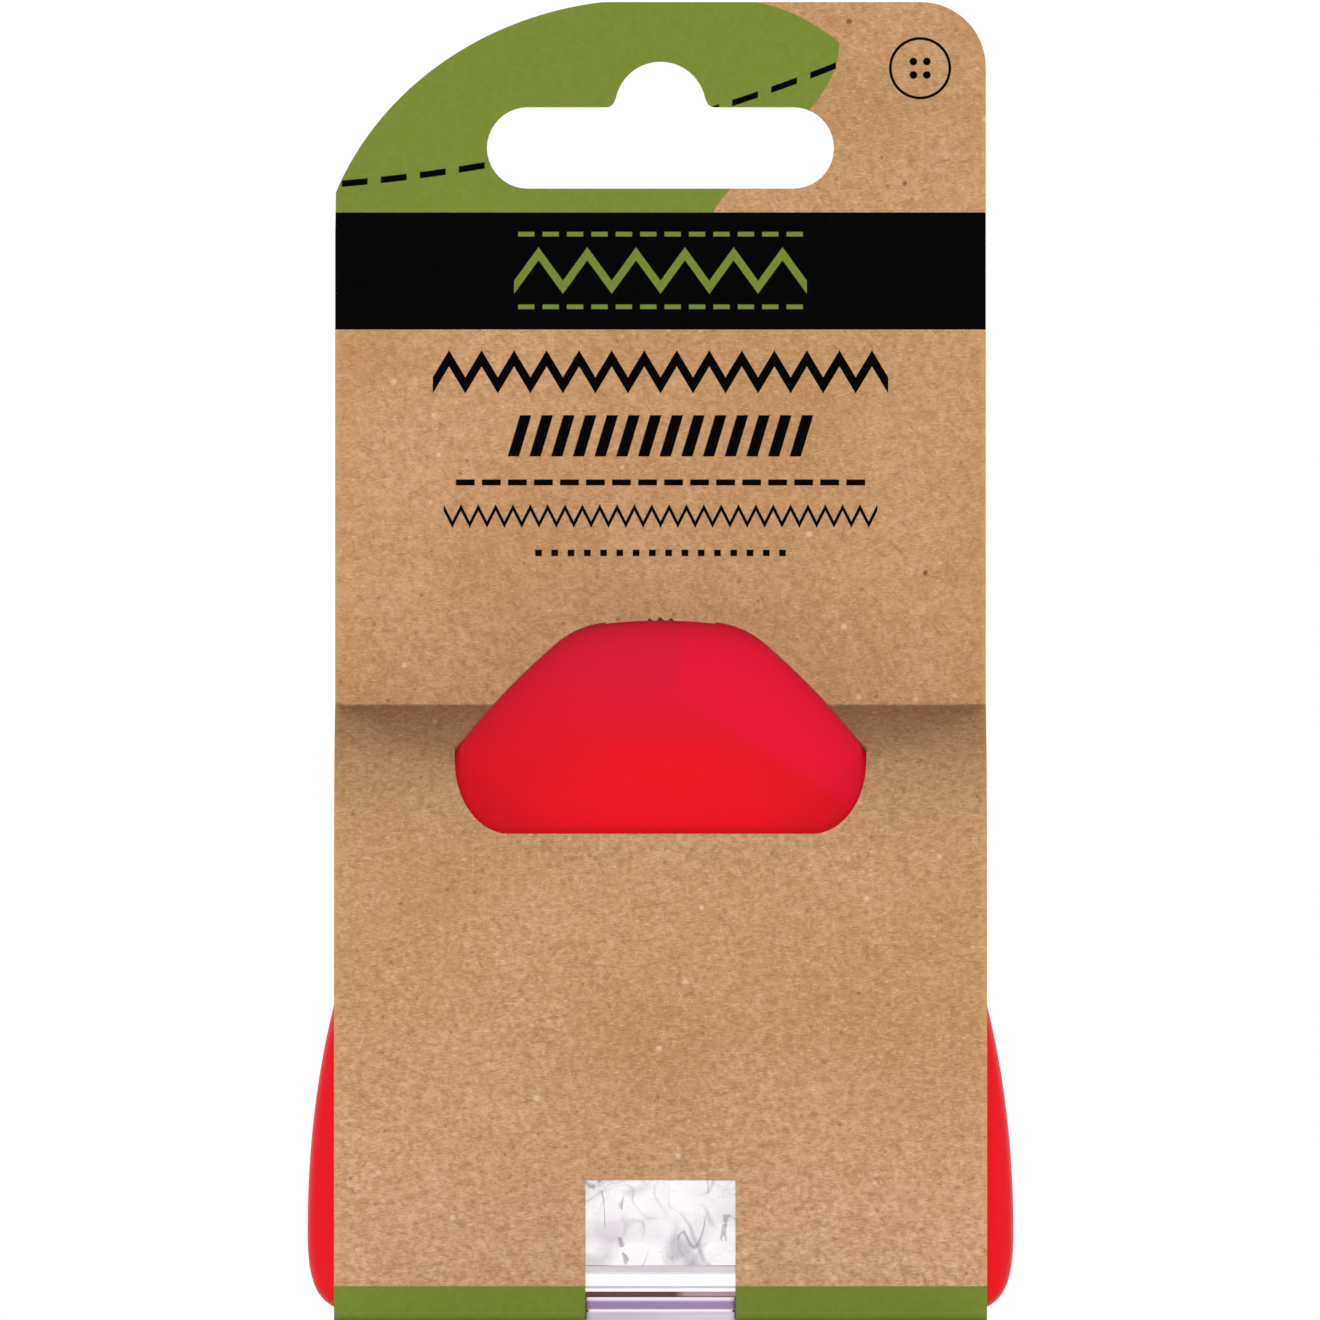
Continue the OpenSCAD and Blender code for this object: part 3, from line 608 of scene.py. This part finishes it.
def header_edge():
    """The card's edge from its left side over the large and the small corner to its right side."""
    w = CARD_W / 2
    cx, cz = HEADER_ARC_RX - w - 1.93, CARD_H + 0.24 - HEADER_ARC_RZ
    corner = [(x, z) for x, z in arc(cx, cz, HEADER_ARC_RX, 180, 98, 59, HEADER_ARC_RZ)
              if z < CARD_H - 0.02 and x > 0.02 - w]
    x0, x1 = corner[-1][0], w - CORNER_R
    top = [(x0 + (x1 - x0) * i / 30, CARD_H) for i in range(1, 31)]
    return ([(-w, cz + 6.0)] + corner + top + arc(x1, CARD_H - CORNER_R, CORNER_R, 84, 6, 13)
            + [(w, CARD_H - CORNER_R)])


def hang_slot_edge():
    """A long slot with round ends and a raised round middle whose feet are rounded."""
    r, half, top = HANG_H / 2, (HANG_W - HANG_H) / 2, HANG_Z + HANG_H
    foot = arc(HUMP_R + HUMP_FOOT_R, top + HUMP_FOOT_R, HUMP_FOOT_R, 270, 210, 4)
    hump = [q for q in arc(0.0, top, HUMP_R, 0, 180, 30) if q[1] > top + 0.6]
    return (arc(half, HANG_Z + r, r, -90, 90, 20) + foot + hump + mirrored(foot)
            + arc(-half, HANG_Z + r, r, 90, 270, 20))


def head_window_edge():
    """The window round the marker's head. Near the crease the board goes in behind the head."""
    gaps = [(1.4, -1.2), (2.1, -0.7), (2.7, -0.3), (3.6, 0.0), (4.4, 0.05)]
    brow = [(-z, x) for x, z in case_outline(16) if z > 40]
    side = []
    for i in range(16):
        drop = -0.5 + 5.2 * i / 15
        x = lookup(drop - CREASE_Z, brow) + lookup(drop, gaps)
        side.append((min(WINDOW_HALF_W + 0.02, x), CREASE_Z - drop))
    half = side + arc(WINDOW_HALF_W - WINDOW_RX, WINDOW_Z + WINDOW_RZ, WINDOW_RX, 4, 88, 14, -WINDOW_RZ)
    return half + mirrored(half)


def card_loops(path):
    """Outline and holes of the flat card as points: across, and along the board."""
    def laid(points):
        return [(x, path.at_z(z)) for x, z in points]

    w, lw, r = CARD_W / 2, LOW_WINDOW_HALF_W, LOW_WINDOW_R
    low = laid([(lw - r, LOW_WINDOW_Z), (lw, LOW_WINDOW_Z - r)])
    low += [(lw, path.at_y(LOW_WINDOW_Y - r)), (lw - r, path.at_y(LOW_WINDOW_Y))]
    outer = [(-w, path.length)] + laid(header_edge()) + [(w, path.length)]
    return [outer, laid(hang_slot_edge()), laid(head_window_edge()), low + mirrored(low)]


def triangulated(loops, inside):
    """Points, triangles and border edges of a flat sheet with holes; inside has further points for it."""
    def on_sheet(q):
        return point_in(q, loops[0]) and not any(point_in(q, h) for h in loops[1:])

    points, edges = [], []
    for loop in loops:
        start, n = len(points), len(loop)
        points += loop
        edges += [(start + i, start + (i + 1) % n) for i in range(n)]
    points += [q for q in inside if on_sheet(q)]
    placed, _, found, *_ = delaunay_2d_cdt([Vector(p) for p in points], edges, [], 0, 1e-5)
    flat = [(p.x, p.y) for p in placed]
    tris = [tuple(f) for f in found if on_sheet([sum(flat[i][k] for i in f) / 3 for k in (0, 1)])]
    sides = [side for t in tris for side in zip(t, t[1:] + t[:1])]
    uses = Counter(frozenset(side) for side in sides)
    return flat, tris, [side for side in sides if uses[frozenset(side)] == 1]


def make_card(mats):
    path = Path(card_path())
    loops = [divide(loop, 0.8) for loop in card_loops(path)]
    rim = [p for loop in loops for p in loop]
    # rows of points across the board, clear of the rim, and closer together where the board bends
    bends = [(path.at_z(58.0), path.at_z(36.0), 0.45), (path.at_z(57.4), path.at_z(56.5), 0.12),
             (path.at_z(2.0), path.at_y(-5.0), 0.16)]
    reach, columns, gap = CARD_W / 2 - EDGE_RUN, 46, 0.32
    inside = []
    row, s = 0, 0.6
    while s < path.length - 0.2:
        lean = 0.3 if row % 2 else -0.3
        inside += [(-reach + 2 * reach * i / columns + lean * (0 < i < columns), s)
                   for i in range(columns + 1)]
        s += min([fine for a, b, fine in bends if a - 1 < s < b], default=1.3)
        row += 1
    inside = [q for q in inside if all(abs(p[0] - q[0]) >= gap or abs(p[1] - q[1]) >= gap for p in rim)]
    flat, tris, border = triangulated(loops, inside)
    n = len(flat)
    half = CARD_T / 2
    print_at, front, back = [], [], []
    for x, s in flat:
        y, z, ny, nz = path.find(s)
        # board is never quite flat: a slow wave on the header
        upward = max(0.0, min(1.0, (z - 62.0) / 25.0))
        y_wave = y + 0.13 * upward * noise.noise(Vector((x * 0.03, s * 0.028, 3.1)))
        on_ground = z < 0.6 and y > FRONT_Y + 0.3
        print_at.append((x, GROUND_Z - (y - FRONT_Y) if on_ground else z))
        front.append((x, y_wave + ny * half, z + nz * half))
        back.append((x, y_wave - ny * half, z - nz * half))
    faces = tris + [(n + a, n + c, n + b) for a, b, c in tris] + [(b, a, n + a, n + b) for a, b in border]
    kinds = [0] * len(tris) + [1] * len(tris) + [2] * len(border)
    return new_object("card_sheet", front + back, faces, mats, 50.0, kinds, print_at)


def make_flap(mats):
    """The back panel, a flat sheet with two round corners and a soft fold at its foot."""
    w, r = CARD_W / 2, CARD_T / 2
    loop = [(-w, GROUND_Z)] + arc(FLAP_R - w, FLAP_H - FLAP_R, FLAP_R, 180, 90, 15)
    loop = divide(loop + mirrored(loop), 2.0)
    columns, rows = 23, 29
    inside = [(-w + 1.6 + (2 * w - 3.2) * i / columns, 1.8 + (FLAP_H - 3.6) * j / rows)
              for j in range(rows + 1) for i in range(columns + 1)]
    inside = [q for q in inside if all(math.dist(q, p) > 1.0 for p in loop)]
    flat, tris, border = triangulated([loop], inside)
    n = len(flat)
    verts = [(x, y, z) for y in (FLAP_Y, FLAP_Y + CARD_T) for x, z in flat]
    faces = tris + [(n + a, n + c, n + b) for a, b, c in tris]
    kinds = [0] * len(faces)
    rounds = {}

    def fold_round(q):
        """Numbers of the points round the fold at the foot's point q, from its near to its far side."""
        if q not in rounds:
            start = len(verts)
            verts.extend((flat[q][0], y, z) for y, z in arc(FLAP_Y + r, GROUND_Z, r, 180, 360, 5)[1:-1])
            rounds[q] = [q, *range(start, len(verts)), n + q]
        return rounds[q]

    for a, b in border:
        if max(flat[a][1], flat[b][1]) > GROUND_Z + 0.01:
            faces.append((b, a, n + a, n + b))
            kinds.append(1)
            continue
        ra, rb = fold_round(a), fold_round(b)
        faces += [(rb[i], ra[i], ra[i + 1], rb[i + 1]) for i in range(len(ra) - 1)]
        kinds += [0] * (len(ra) - 1)
    return new_object("back_flap_sheet", verts, faces, mats, 50.0, kinds)


# Marker case
def case_half(z):
    """Half thickness of the case at a height, smoothed over a few millimetres."""
    return HALF_T * sum(lookup(z + d, DEPTH_KNOTS) * share
                        for d, share in ((-4, 0.1), (-2, 0.2), (0, 0.4), (2, 0.2), (4, 0.1)))


def make_half(name, side, mats):
    """One closed shell of the case: rings from the rim to the middle of its face, outside, then inside."""
    right = case_outline(10)
    loop = right + [(0.0, CASE_BOTTOM)] + mirrored(right[1:])
    n = len(loop)
    depths = [0.12, 0.2, 0.3, 0.4, 0.5, 0.6, 0.7, 0.78, 0.85, 0.9, 0.94, 0.965, 0.982, 0.992, 0.998]
    outer = [(1 - f ** 3) ** 0.25 for f in depths] + [0.18]
    inner = [1.0, 0.985, 0.95, 0.87, 0.7, 0.4]
    verts, faces = [], []

    def ring(s, wall, depth=None):
        """The outline at a share s of its size, at a depth on a soft dome unless one is given."""
        for x, z in loop:
            k = s * (1 - INSIDE_SHRINK * wall / math.hypot(x, z - CASE_MID))
            qz = CASE_MID + k * (z - CASE_MID)
            d = (case_half(qz) - wall) * (1 - s ** 4) ** (1 / 3) if depth is None else depth
            verts.append((k * x, side * max(PARTING, d), qz))

    def dome(start, wall, shares):
        """Rings at the shares and a point in their middle, with faces from the ring at number start on."""
        for s in shares:
            ring(s, wall)
        last, pole = len(verts) - n, len(verts)
        verts.append((0.0, side * (case_half(CASE_MID) - wall), CASE_MID))
        faces.extend(bands(start, (pole - start) // n, n))
        faces.extend((last + i, last + (i + 1) % n, pole) for i in range(n))

    ring(0.9962, 0.0, PARTING)
    ring(0.9996, 0.0, 0.14)
    dome(0, 0.0, outer)
    start = len(verts)
    dome(start, WALL, inner)
    faces += [(i, (i + 1) % n, start + (i + 1) % n, start + i) for i in range(n)]
    return new_object(name, verts, faces, mats, 30.0)


def make_case(side, name, mats):
    o = make_half(name, side, mats)
    mouth = round_box(-MOUTH_HALF_W, MOUTH_HALF_W, -8.0, MOUTH_Z, MOUTH_R)
    slot = [(-SLOT_R, SLOT_Z0), (SLOT_R, SLOT_Z0)] + arc(0.0, SLOT_Z, SLOT_R, 0, 180, 30)
    w = POCKET_HALF_W
    pocket = [(-w, POCKET_Z0), (w, POCKET_Z0), (w, POCKET_Z1), (-w, POCKET_Z1)]
    cutters = [prism_y("cut_mouth", mouth, -9, 9), prism_y("cut_slot", slot, -SLOT_HALF_D, SLOT_HALF_D),
               prism_y("cut_pocket", pocket, -POCKET_HALF_D, POCKET_HALF_D)]
    if side > 0:
        cutters += [prism_y("cut_screw", circle(x, z, SEAT_R, 36), HALF_T * 0.3, 9) for x, z in SCREWS]
    cut(o, cutters)
    finish_mesh(o.data, 32.0)
    return o


def make_seats(mats):
    """Screw seats of the back half: a cup under each screw's head."""
    verts, faces = [], []
    sides = 40
    for x, z in SCREWS:
        floor, top, foot = case_half(z) * 0.58, case_half(z) * 0.84, 0.1
        rings = [(BOSS_R, foot), (BOSS_R, top), (SEAT_R, top), (SEAT_R, floor), (SHANK_R, floor),
                 (SHANK_R, foot)]
        faces += bands(len(verts), len(rings), sides, closed=True)
        for r, y in rings:
            verts += [(px, y, pz) for px, pz in circle(x, z, r, sides)]
    return new_object("case_bosses", verts, faces, mats, 32.0)


def head_painted_light(nt, coord, base, tone):
    """Painted light on the head: painted shade leaves it brightest low in its middle, a crimson painted
    reflection lies at its tip and right side, and a painted shadow darkens it by its window.
    """
    across, _, z = millimetres(nt, coord)
    head = z.ramp(0.25, -9.5)
    # painted shade: the head darkens away from its lower middle
    painted_shade_outward = distance(across * (1.0 / 12.0), z * (1.0 / 9.0) + (-44.0 / 9.0)).ramp(1.0 / 0.35, -0.85 / 0.35)
    base = mix_color(nt, painted_shade_outward * head * 0.85, base, rgb(201, 23, 31))
    # painted reflection: a crimson tint towards the tip, broken up by the random tone
    painted_tip_reflection = (z * (1.0 / 11.0) + tone * 0.5 - 4.98).clamp()
    base = mix_color(nt, painted_tip_reflection * 0.85, base, rgb(195, 28, 54))
    # painted shade on the head's left side
    painted_left_shade = across.ramp(-1.0 / 14.0, -4.0 / 14.0)
    base = mix_color(nt, painted_left_shade * head * 0.4, base, rgb(190, 22, 34))
    # painted reflection: a crimson tint on the head's upper right
    painted_right_reflection = (z + across * 0.62).ramp(1.0 / 1.4, -57.6 / 1.4) * across.ramp(0.5, -0.4)
    base = mix_color(nt, painted_right_reflection * 0.75, base, rgb(210, 23, 48))
    # painted shadow of the card's window edge: darker red in a narrow band inside the window's sides and
    # bottom
    bend = (abs(across) - (WINDOW_HALF_W - WINDOW_RX)).least(0.0) * (1.0 / WINDOW_RX)
    below = (z * -1.0 + (WINDOW_Z + WINDOW_RZ)).least(0.0) * (1.0 / WINDOW_RZ)
    rim = distance(bend, below).ramp(1.0 / 0.16, -0.84 / 0.16) * below.below(1.02)
    return mix_color(nt, rim * rim * 0.5, base, rgb(150, 12, 22))


def red_plastic(name, front):
    m, nt, bsdf, coord = material(name)
    tone = noise_v(nt, coord, 60.0, 2.0)
    base = mix_color(nt, tone.ramp(1.6, -0.3) * 0.3, rgb(214, 21, 30), rgb(205, 20, 31))
    # only the front half carries the head's painted shade, painted reflections and painted shadow
    if front:
        base = head_painted_light(nt, coord, base, tone)
    dust = noise_v(nt, coord, 900.0, 3.0, 0.6)
    rub = noise_v(nt, mapped(nt, coord, (900.0, 900.0, 90.0), (0, 20, 0)), 1.0, 2.0)
    wave = noise_v(nt, coord, 110.0, 1.0)
    finish_look(nt, bsdf, base, dust * 0.08 + rub * 0.07 + 0.27,
                bump(nt, wave * 0.8 + dust * 0.05, 0.06, 0.4), Specular_IOR_Level=0.06)
    return m


# Chalk, spring and small parts
def chalk_dent(x, y, z):
    """How deep the caked powder lies under its plain surface: lumps, with a few cracks."""
    p = Vector((x * 0.42, y * 0.42, z * 0.5))
    warp = Vector([noise.noise(p * 2.1 + Vector(shift)) for shift in ((0, 0, 0), (7, 1, 3), (2, 9, 4))])
    near, far = noise.voronoi(p * 0.85 + warp * 0.35)[0][:2]
    crack = max(0.0, 1.0 - (far - near) / 0.06)
    gate = max(0.0, min(1.0, 1.6 * noise.noise(p * 0.7 + Vector((5, 5, 5))) + 0.45))
    lumps = noise.fractal(p * 1.3, 0.9, 2.2, 4)
    return max(0.0, min(0.6, 0.05 + 0.13 * (0.5 + lumps) + 0.34 * crack * gate))


def make_chalk(mats):
    """Caked powder: a dented block in the tank's foot, and a plain one in the narrower part over it."""
    loop = round_box(-CHALK_HALF_W, CHALK_HALF_W, -CHALK_HALF_D, CHALK_HALF_D, CHALK_R, 6)
    loop = divide(loop, 0.16)
    n, rows = len(loop), 79
    verts = []
    for j in range(rows):
        z = CHALK_Z0 + (CHALK_Z1 - CHALK_Z0) * j / (rows - 1)
        for i, (x, y) in enumerate(loop):
            (ax, ay), (bx, by) = loop[i - 1], loop[(i + 1) % n]
            k = chalk_dent(x, y, z) / math.hypot(bx - ax, by - ay)
            verts.append((x - (by - ay) * k, y + (bx - ax) * k, z))
    faces = bands(0, rows, n) + [tuple(range(n - 1, -1, -1)), tuple(range(len(verts) - n, len(verts)))]
    upper = round_box(-UPPER_HALF_W, UPPER_HALF_W, -UPPER_HALF_D, UPPER_HALF_D, UPPER_R, 6)
    start, k = len(verts), len(upper)
    verts += [(x, y, z) for z in (UPPER_Z0, UPPER_Z1) for x, y in upper]
    faces += bands(start, 2, k)
    faces += [tuple(range(start + k - 1, start - 1, -1)), tuple(range(start + k, start + 2 * k))]
    return new_object("chalk_cake", verts, faces, mats, 60.0)


def make_spring(mats):
    """Return spring with a closed coil at each end."""
    per_turn, sides = 30, 12
    rise = [(0.0, 0.0), (0.6, 0.012), (SPRING_TURNS - 0.6, 0.988), (SPRING_TURNS, 1.0)]
    verts = []
    for i in range(SPRING_TURNS * per_turn + 1):
        a = 2 * math.pi * i / per_turn
        z = SPRING_Z0 + (SPRING_Z1 - SPRING_Z0) * lookup(i / per_turn, rise)
        verts += [(r * math.cos(a), r * math.sin(a), z + dz)
                  for r, dz in circle(SPRING_R, 0.0, WIRE_R, sides)]
    last = len(verts) - sides
    faces = bands(0, SPRING_TURNS * per_turn + 1, sides)
    faces += [tuple(range(sides)), tuple(range(last + sides - 1, last - 1, -1))]
    return new_object("coil_spring", verts, faces, mats, 50.0)


def chalk_material():
    """White powder with a grey haze, and painted shade that greys it towards its foot and darkens soft folds
    and a few torn cracks.
    """
    m, nt, bsdf, coord = material("chalk_powder")
    tone = noise_v(nt, coord, 240.0, 4.0, 0.6)
    fine = noise_v(nt, coord, 2600.0, 2.0, 0.6)
    # low is painted shade: 1 up to 6 mm and 0 from 10.5 mm up; it strengthens the grey haze and the fold
    # lines towards the foot
    low = millimetres(nt, coord)[2].ramp(-1.0 / 4.5, 10.5 / 4.5)
    base = mix_color(nt, tone.ramp(2.2, -0.6), rgb(247, 245, 249), rgb(255, 254, 255))
    base = mix_color(nt, fine.ramp(2.0, -0.9) * 0.15, base, rgb(222, 216, 224))
    haze = noise_v(nt, mapped(nt, coord, (150.0, 150.0, 230.0)), 1.0, 2.0)
    base = mix_color(nt, haze.ramp(5.0, -2.1) * (low * 0.65 + 0.22), base, rgb(182, 172, 186))
    # painted shade in soft folds of the powder: thin grey lines, stronger towards the foot
    for size, at, share in ((95.0, 0.5, 0.8), (160.0, 0.47, 0.7), (240.0, 0.54, 0.6)):
        fold = noise_v(nt, mapped(nt, coord, move=(at, at, at)), size, 1.0, 0.4, 0.7)
        shown = noise_v(nt, mapped(nt, coord, move=(0.0, at, size)), 260.0, 1.0).ramp(6.0, -2.6)
        line = fold.near(at, 0.008, 0.03)
        base = mix_color(nt, line * shown * (low * 0.4 + 0.6) * share, base, rgb(96, 88, 104))
    # painted shade in a few torn cracks: thin dark lines
    split = noise_v(nt, mapped(nt, coord, (330.0, 330.0, 110.0), move=(0.2, 0.6, 0.1)), 1.0, 1.0, 0.5, 0.3)
    torn = noise_v(nt, mapped(nt, coord, move=(0.3, 0.1, 0.7)), 330.0, 2.0).above(0.55)
    base = mix_color(nt, split.near(0.5, 0.01, 0.02) * torn * 0.7, base, rgb(92, 84, 94))
    finish_look(nt, bsdf, base, 0.95, bump(nt, fine * 0.5 + tone, 0.35, 0.12), Specular_IOR_Level=0.1)
    return m


def clear_material():
    m, nt, bsdf, coord = material("clear_styrene")
    smear = noise_v(nt, coord, 180.0, 3.0, 0.6)
    nt.links.new((smear * 0.1).s, bsdf.inputs["Roughness"])
    bsdf.inputs["Base Color"].default_value = (0.94, 0.92, 0.95, 1)
    bsdf.inputs["Alpha"].default_value = 0.1
    bsdf.inputs["IOR"].default_value = 1.45
    nt.links.new(bump(nt, smear, 0.05, 0.1), bsdf.inputs["Normal"])
    return m


def satin_material(name, low, high, roughness, bump_mm=0.03, metallic=0.0):
    m, nt, bsdf, coord = material(name)
    tone = noise_v(nt, coord, 150.0, 3.0)
    fine = noise_v(nt, coord, 800.0, 2.0, 0.6)
    base = mix_color(nt, tone.ramp(1.8, -0.4), low, high)
    finish_look(nt, bsdf, base, fine * 0.16 + (roughness - 0.08), bump(nt, fine, 0.2, bump_mm),
                Metallic=metallic)
    return m


def turned_metal(name, low, high, roughness):
    m, nt, bsdf, coord = material(name)
    lines = noise_v(nt, mapped(nt, coord, (3000.0, 500.0, 3000.0)), 1.0, 2.0)
    finish_look(nt, bsdf, mix_color(nt, lines, low, high), lines * 0.2 + (roughness - 0.1),
                bump(nt, lines, 0.15, 0.02), Metallic=1.0)
    return m


def foot_material():
    """White moulding, greyer where the tank's wall grips it, and with painted shade in its groove."""
    m, nt, bsdf, coord = material("foot_styrene")
    _, _, z = millimetres(nt, coord)
    wear = noise_v(nt, mapped(nt, coord, (120.0, 300.0, 1500.0)), 1.0, 3.0, 0.6)
    base = mix_color(nt, wear.ramp(2.0, -0.5), rgb(246, 244, 248), rgb(254, 253, 254))
    grip, groove = z.near(4.82, 0.34, 0.14), z.near(3.17, 0.09, 0.05)
    base = mix_color(nt, grip * 0.85, base, mix_color(nt, wear, rgb(190, 178, 188), rgb(226, 218, 226)))
    # painted shade in the groove
    base = mix_color(nt, groove * 0.9, base, mix_color(nt, wear, rgb(150, 142, 156), rgb(214, 208, 220)))
    finish_look(nt, bsdf, base, wear * 0.15 + 0.28, bump(nt, wear, 0.15, 0.03))
    return m


def gasket_material():
    """Brown sealing sheet, lighter towards one end as a painted highlight."""
    m, nt, bsdf, coord = material("gasket_sheet")
    across, _, _ = millimetres(nt, coord)
    grain = noise_v(nt, coord, 900.0, 3.0, 0.6)
    # painted highlight: lighter towards the right end
    painted_highlight = (across * 0.9 + grain * 0.8 - 1.5).clamp()
    base = mix_color(nt, grain, rgb(70, 44, 46), rgb(104, 72, 72))
    base = mix_color(nt, painted_highlight * 0.55, base, rgb(196, 174, 176))
    finish_look(nt, bsdf, base, 0.7, bump(nt, grain, 0.2, 0.03))
    return m


def frosted_material():
    """Frosted lid with a lilac band, a pale line at its grip and a pale upper edge."""
    m, nt, bsdf, coord = material("frosted_lid")
    tone = noise_v(nt, mapped(nt, coord, (60.0, 300.0, 900.0)), 1.0, 3.0, 0.6)
    _, _, z = millimetres(nt, coord)
    base = mix_color(nt, tone.ramp(2.4, -0.7), rgb(180, 168, 184), rgb(214, 204, 218))
    lilac = mix_color(nt, tone, rgb(126, 106, 146), rgb(160, 138, 172))
    base = mix_color(nt, z.near(1.52, 0.36, 0.12), base, lilac)
    base = mix_color(nt, (z - 2.0).soft_below(0.0, 0.1) * -1.0 + 1.0, base, rgb(238, 226, 234))
    base = mix_color(nt, z.near(1.0, 0.14, 0.08), base, rgb(234, 226, 230))
    finish_look(nt, bsdf, base, tone * 0.2 + 0.28, bump(nt, tone, 0.2, 0.1))
    return m


# Floor, light and camera
def background_rays(nt):
    """1 for the rays that see the white background: straight, mirrored or through glass."""
    rays = nt.nodes.new("ShaderNodeLightPath").outputs
    straight = V(nt, rays["Is Camera Ray"])
    return (straight + V(nt, rays["Is Glossy Ray"]) + V(nt, rays["Is Transmission Ray"])).clamp()


def make_floor():
    """A floor whose own white hides its edge in the background but lets the shadow by the object show."""
    size = 3000.0
    corners = [(-size, -size, 0), (size, -size, 0), (size, size, 0), (-size, size, 0)]
    m, nt, bsdf, coord = material("floor_white")
    bsdf.inputs["Base Color"].default_value = (0.92, 0.92, 0.92, 1)
    bsdf.inputs["Roughness"].default_value = 0.9
    glow = nt.nodes.new("ShaderNodeEmission")
    glow.inputs["Strength"].default_value = 1.0
    length = nt.nodes.new("ShaderNodeVectorMath")
    length.operation = "LENGTH"
    nt.links.new(coord, length.inputs[0])
    away = V(nt, length.outputs["Value"]).ramp(5.0, -0.25)
    blend = nt.nodes.new("ShaderNodeMixShader")
    nt.links.new((background_rays(nt) * (away * 0.11 + 0.89)).s, blend.inputs["Fac"])
    nt.links.new(bsdf.outputs[0], blend.inputs[1])
    nt.links.new(glow.outputs[0], blend.inputs[2])
    nt.links.new(blend.outputs[0], nt.nodes["Material Output"].inputs["Surface"])
    new_object("floor", corners, [(0, 1, 2, 3)], [m])


def make_world():
    world = bpy.data.worlds.new("studio")
    bpy.context.scene.world = world
    world.use_nodes = True
    nt = world.node_tree
    sky = nt.nodes["Background"]
    sky.inputs["Color"].default_value = (1, 1, 1, 1)
    nt.links.new((background_rays(nt) * (1.0 - AMBIENT) + AMBIENT).s, sky.inputs["Strength"])


def area_light(name, position, size, power):
    """A square lamp, with its place and size in metres, that is turned to the middle of the object."""
    light = bpy.data.lights.new(name, "AREA")
    light.energy = power
    light.shape = "RECTANGLE"
    light.size = size
    light.size_y = size
    o = linked(name, light)
    o.location = position
    middle = Vector((0, 0, 0.055))
    o.rotation_euler = (middle - Vector(position)).to_track_quat("-Z", "Y").to_euler()
    o.visible_camera = False
    return o


def make_lights():
    """A low wide light from the front, one on each side, and two high ones behind."""
    sun = bpy.data.lights.new("front_soft", "SUN")
    sun.energy = 2.7
    sun.angle = math.radians(3)
    front = linked("front_soft", sun)
    front.rotation_euler = (math.radians(88.3), 0, 0)
    front.visible_glossy = False
    for name, x in (("side_left", -1.1), ("side_right", 1.1)):
        area_light(name, (x, -0.2, 0.06), 0.4, 4.5).visible_glossy = False
    for name, x in (("back_left", -0.55), ("back_right", 0.55)):
        area_light(name, (x, 0.75, 1.0), 0.6, 11.0)


def make_camera():
    """Straight at the front from far away, framed as in the photograph."""
    pixel = CARD_W / CARD_PX * MM
    data = bpy.data.cameras.new("camera")
    data.sensor_width = SENSOR
    data.lens = LENS
    data.clip_start = 0.05
    cam = linked("camera", data)
    away = PHOTO_PX * pixel * LENS / SENSOR
    cam.location = (-CARD_SHIFT_PX * pixel, FRONT_Y * MM - away, (GROUND_PX - MIDDLE_PX) * pixel)
    cam.rotation_euler = (math.radians(90), 0, 0)
    bpy.context.scene.camera = cam


# The pieces, each in the place of its CAD node and on that node's body
def dress(piece, node, body):
    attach(piece, body)
    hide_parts(node)


inside_kraft = plain_kraft("kraft_inside")
edge_kraft = plain_kraft("kraft_edge", edge=True)
card = make_card([printed_kraft("kraft_printed"), inside_kraft, edge_kraft])
dress(card, "card_sleeve", "pack")
dress(make_flap([inside_kraft, edge_kraft]), "card_flap", "flap")

dress(make_case(-1, "case_front", [red_plastic("red_gloss", True)]), "front_shell", "pack")
red = red_plastic("red_gloss_back", False)
for shell in (make_case(1, "case_back", [red]), make_seats([red])):
    dress(shell, "back_shell", "pack")

dress(make_chalk([chalk_material()]), "chalk_fill", "cartridge")

white = satin_material("white_styrene", rgb(244, 242, 246), rgb(253, 252, 253), 0.35)
cream = satin_material("natural_acetal", rgb(226, 222, 212), rgb(240, 237, 228), 0.42)
rubber = satin_material("seal_rubber", rgb(58, 38, 34), rgb(84, 58, 52), 0.65, 0.05)
dark_steel = satin_material("blued_steel", rgb(34, 30, 32), rgb(66, 60, 62), 0.42, 0.02, metallic=0.85)
steel = turned_metal("bright_steel", (0.55, 0.55, 0.57), (0.75, 0.75, 0.77), 0.28)
brass = turned_metal("turned_brass", (0.72, 0.5, 0.2), (0.85, 0.64, 0.3), 0.3)

for node, name, width, mat, slot, body in (
        ("chalk_tank", "tank_shell", 0.35, clear_material(), "clear_plastic", "cartridge"),
        ("tank_base", "tank_foot", 0.05, foot_material(), "white_plastic", "cartridge"),
        ("base_gasket", "foot_gasket", 0.08, gasket_material(), "seal_rubber", "cartridge"),
        ("refill_plug", "refill_lid", 0.07, frosted_material(), "frosted_plastic", "plug"),
        ("marking_wheel", "toothed_wheel", 0.04, dark_steel, "blued_steel", "wheel"),
        ("nose_fork", "wheel_fork", 0.1, cream, "white_plastic", "cartridge"),
        ("shell_screws", "case_screws", 0.12, steel, "steel", "pack")):
    dress(softened(node, name, width, mat), node, body)

spring = make_spring([steel])
dress(spring, "return_spring", "pack")
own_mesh(spring)

for node, mat in (("guide_plate", white), ("neck_tube", cream), ("wheel_axle", steel), ("wheel_bush", brass),
                  ("plug_seal", rubber)):
    for material_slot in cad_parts[node].material_slots:
        material_slot.material = mat

make_floor()
make_world()
make_lights()
make_camera()
bpy.context.scene.view_settings.view_transform = "Standard"
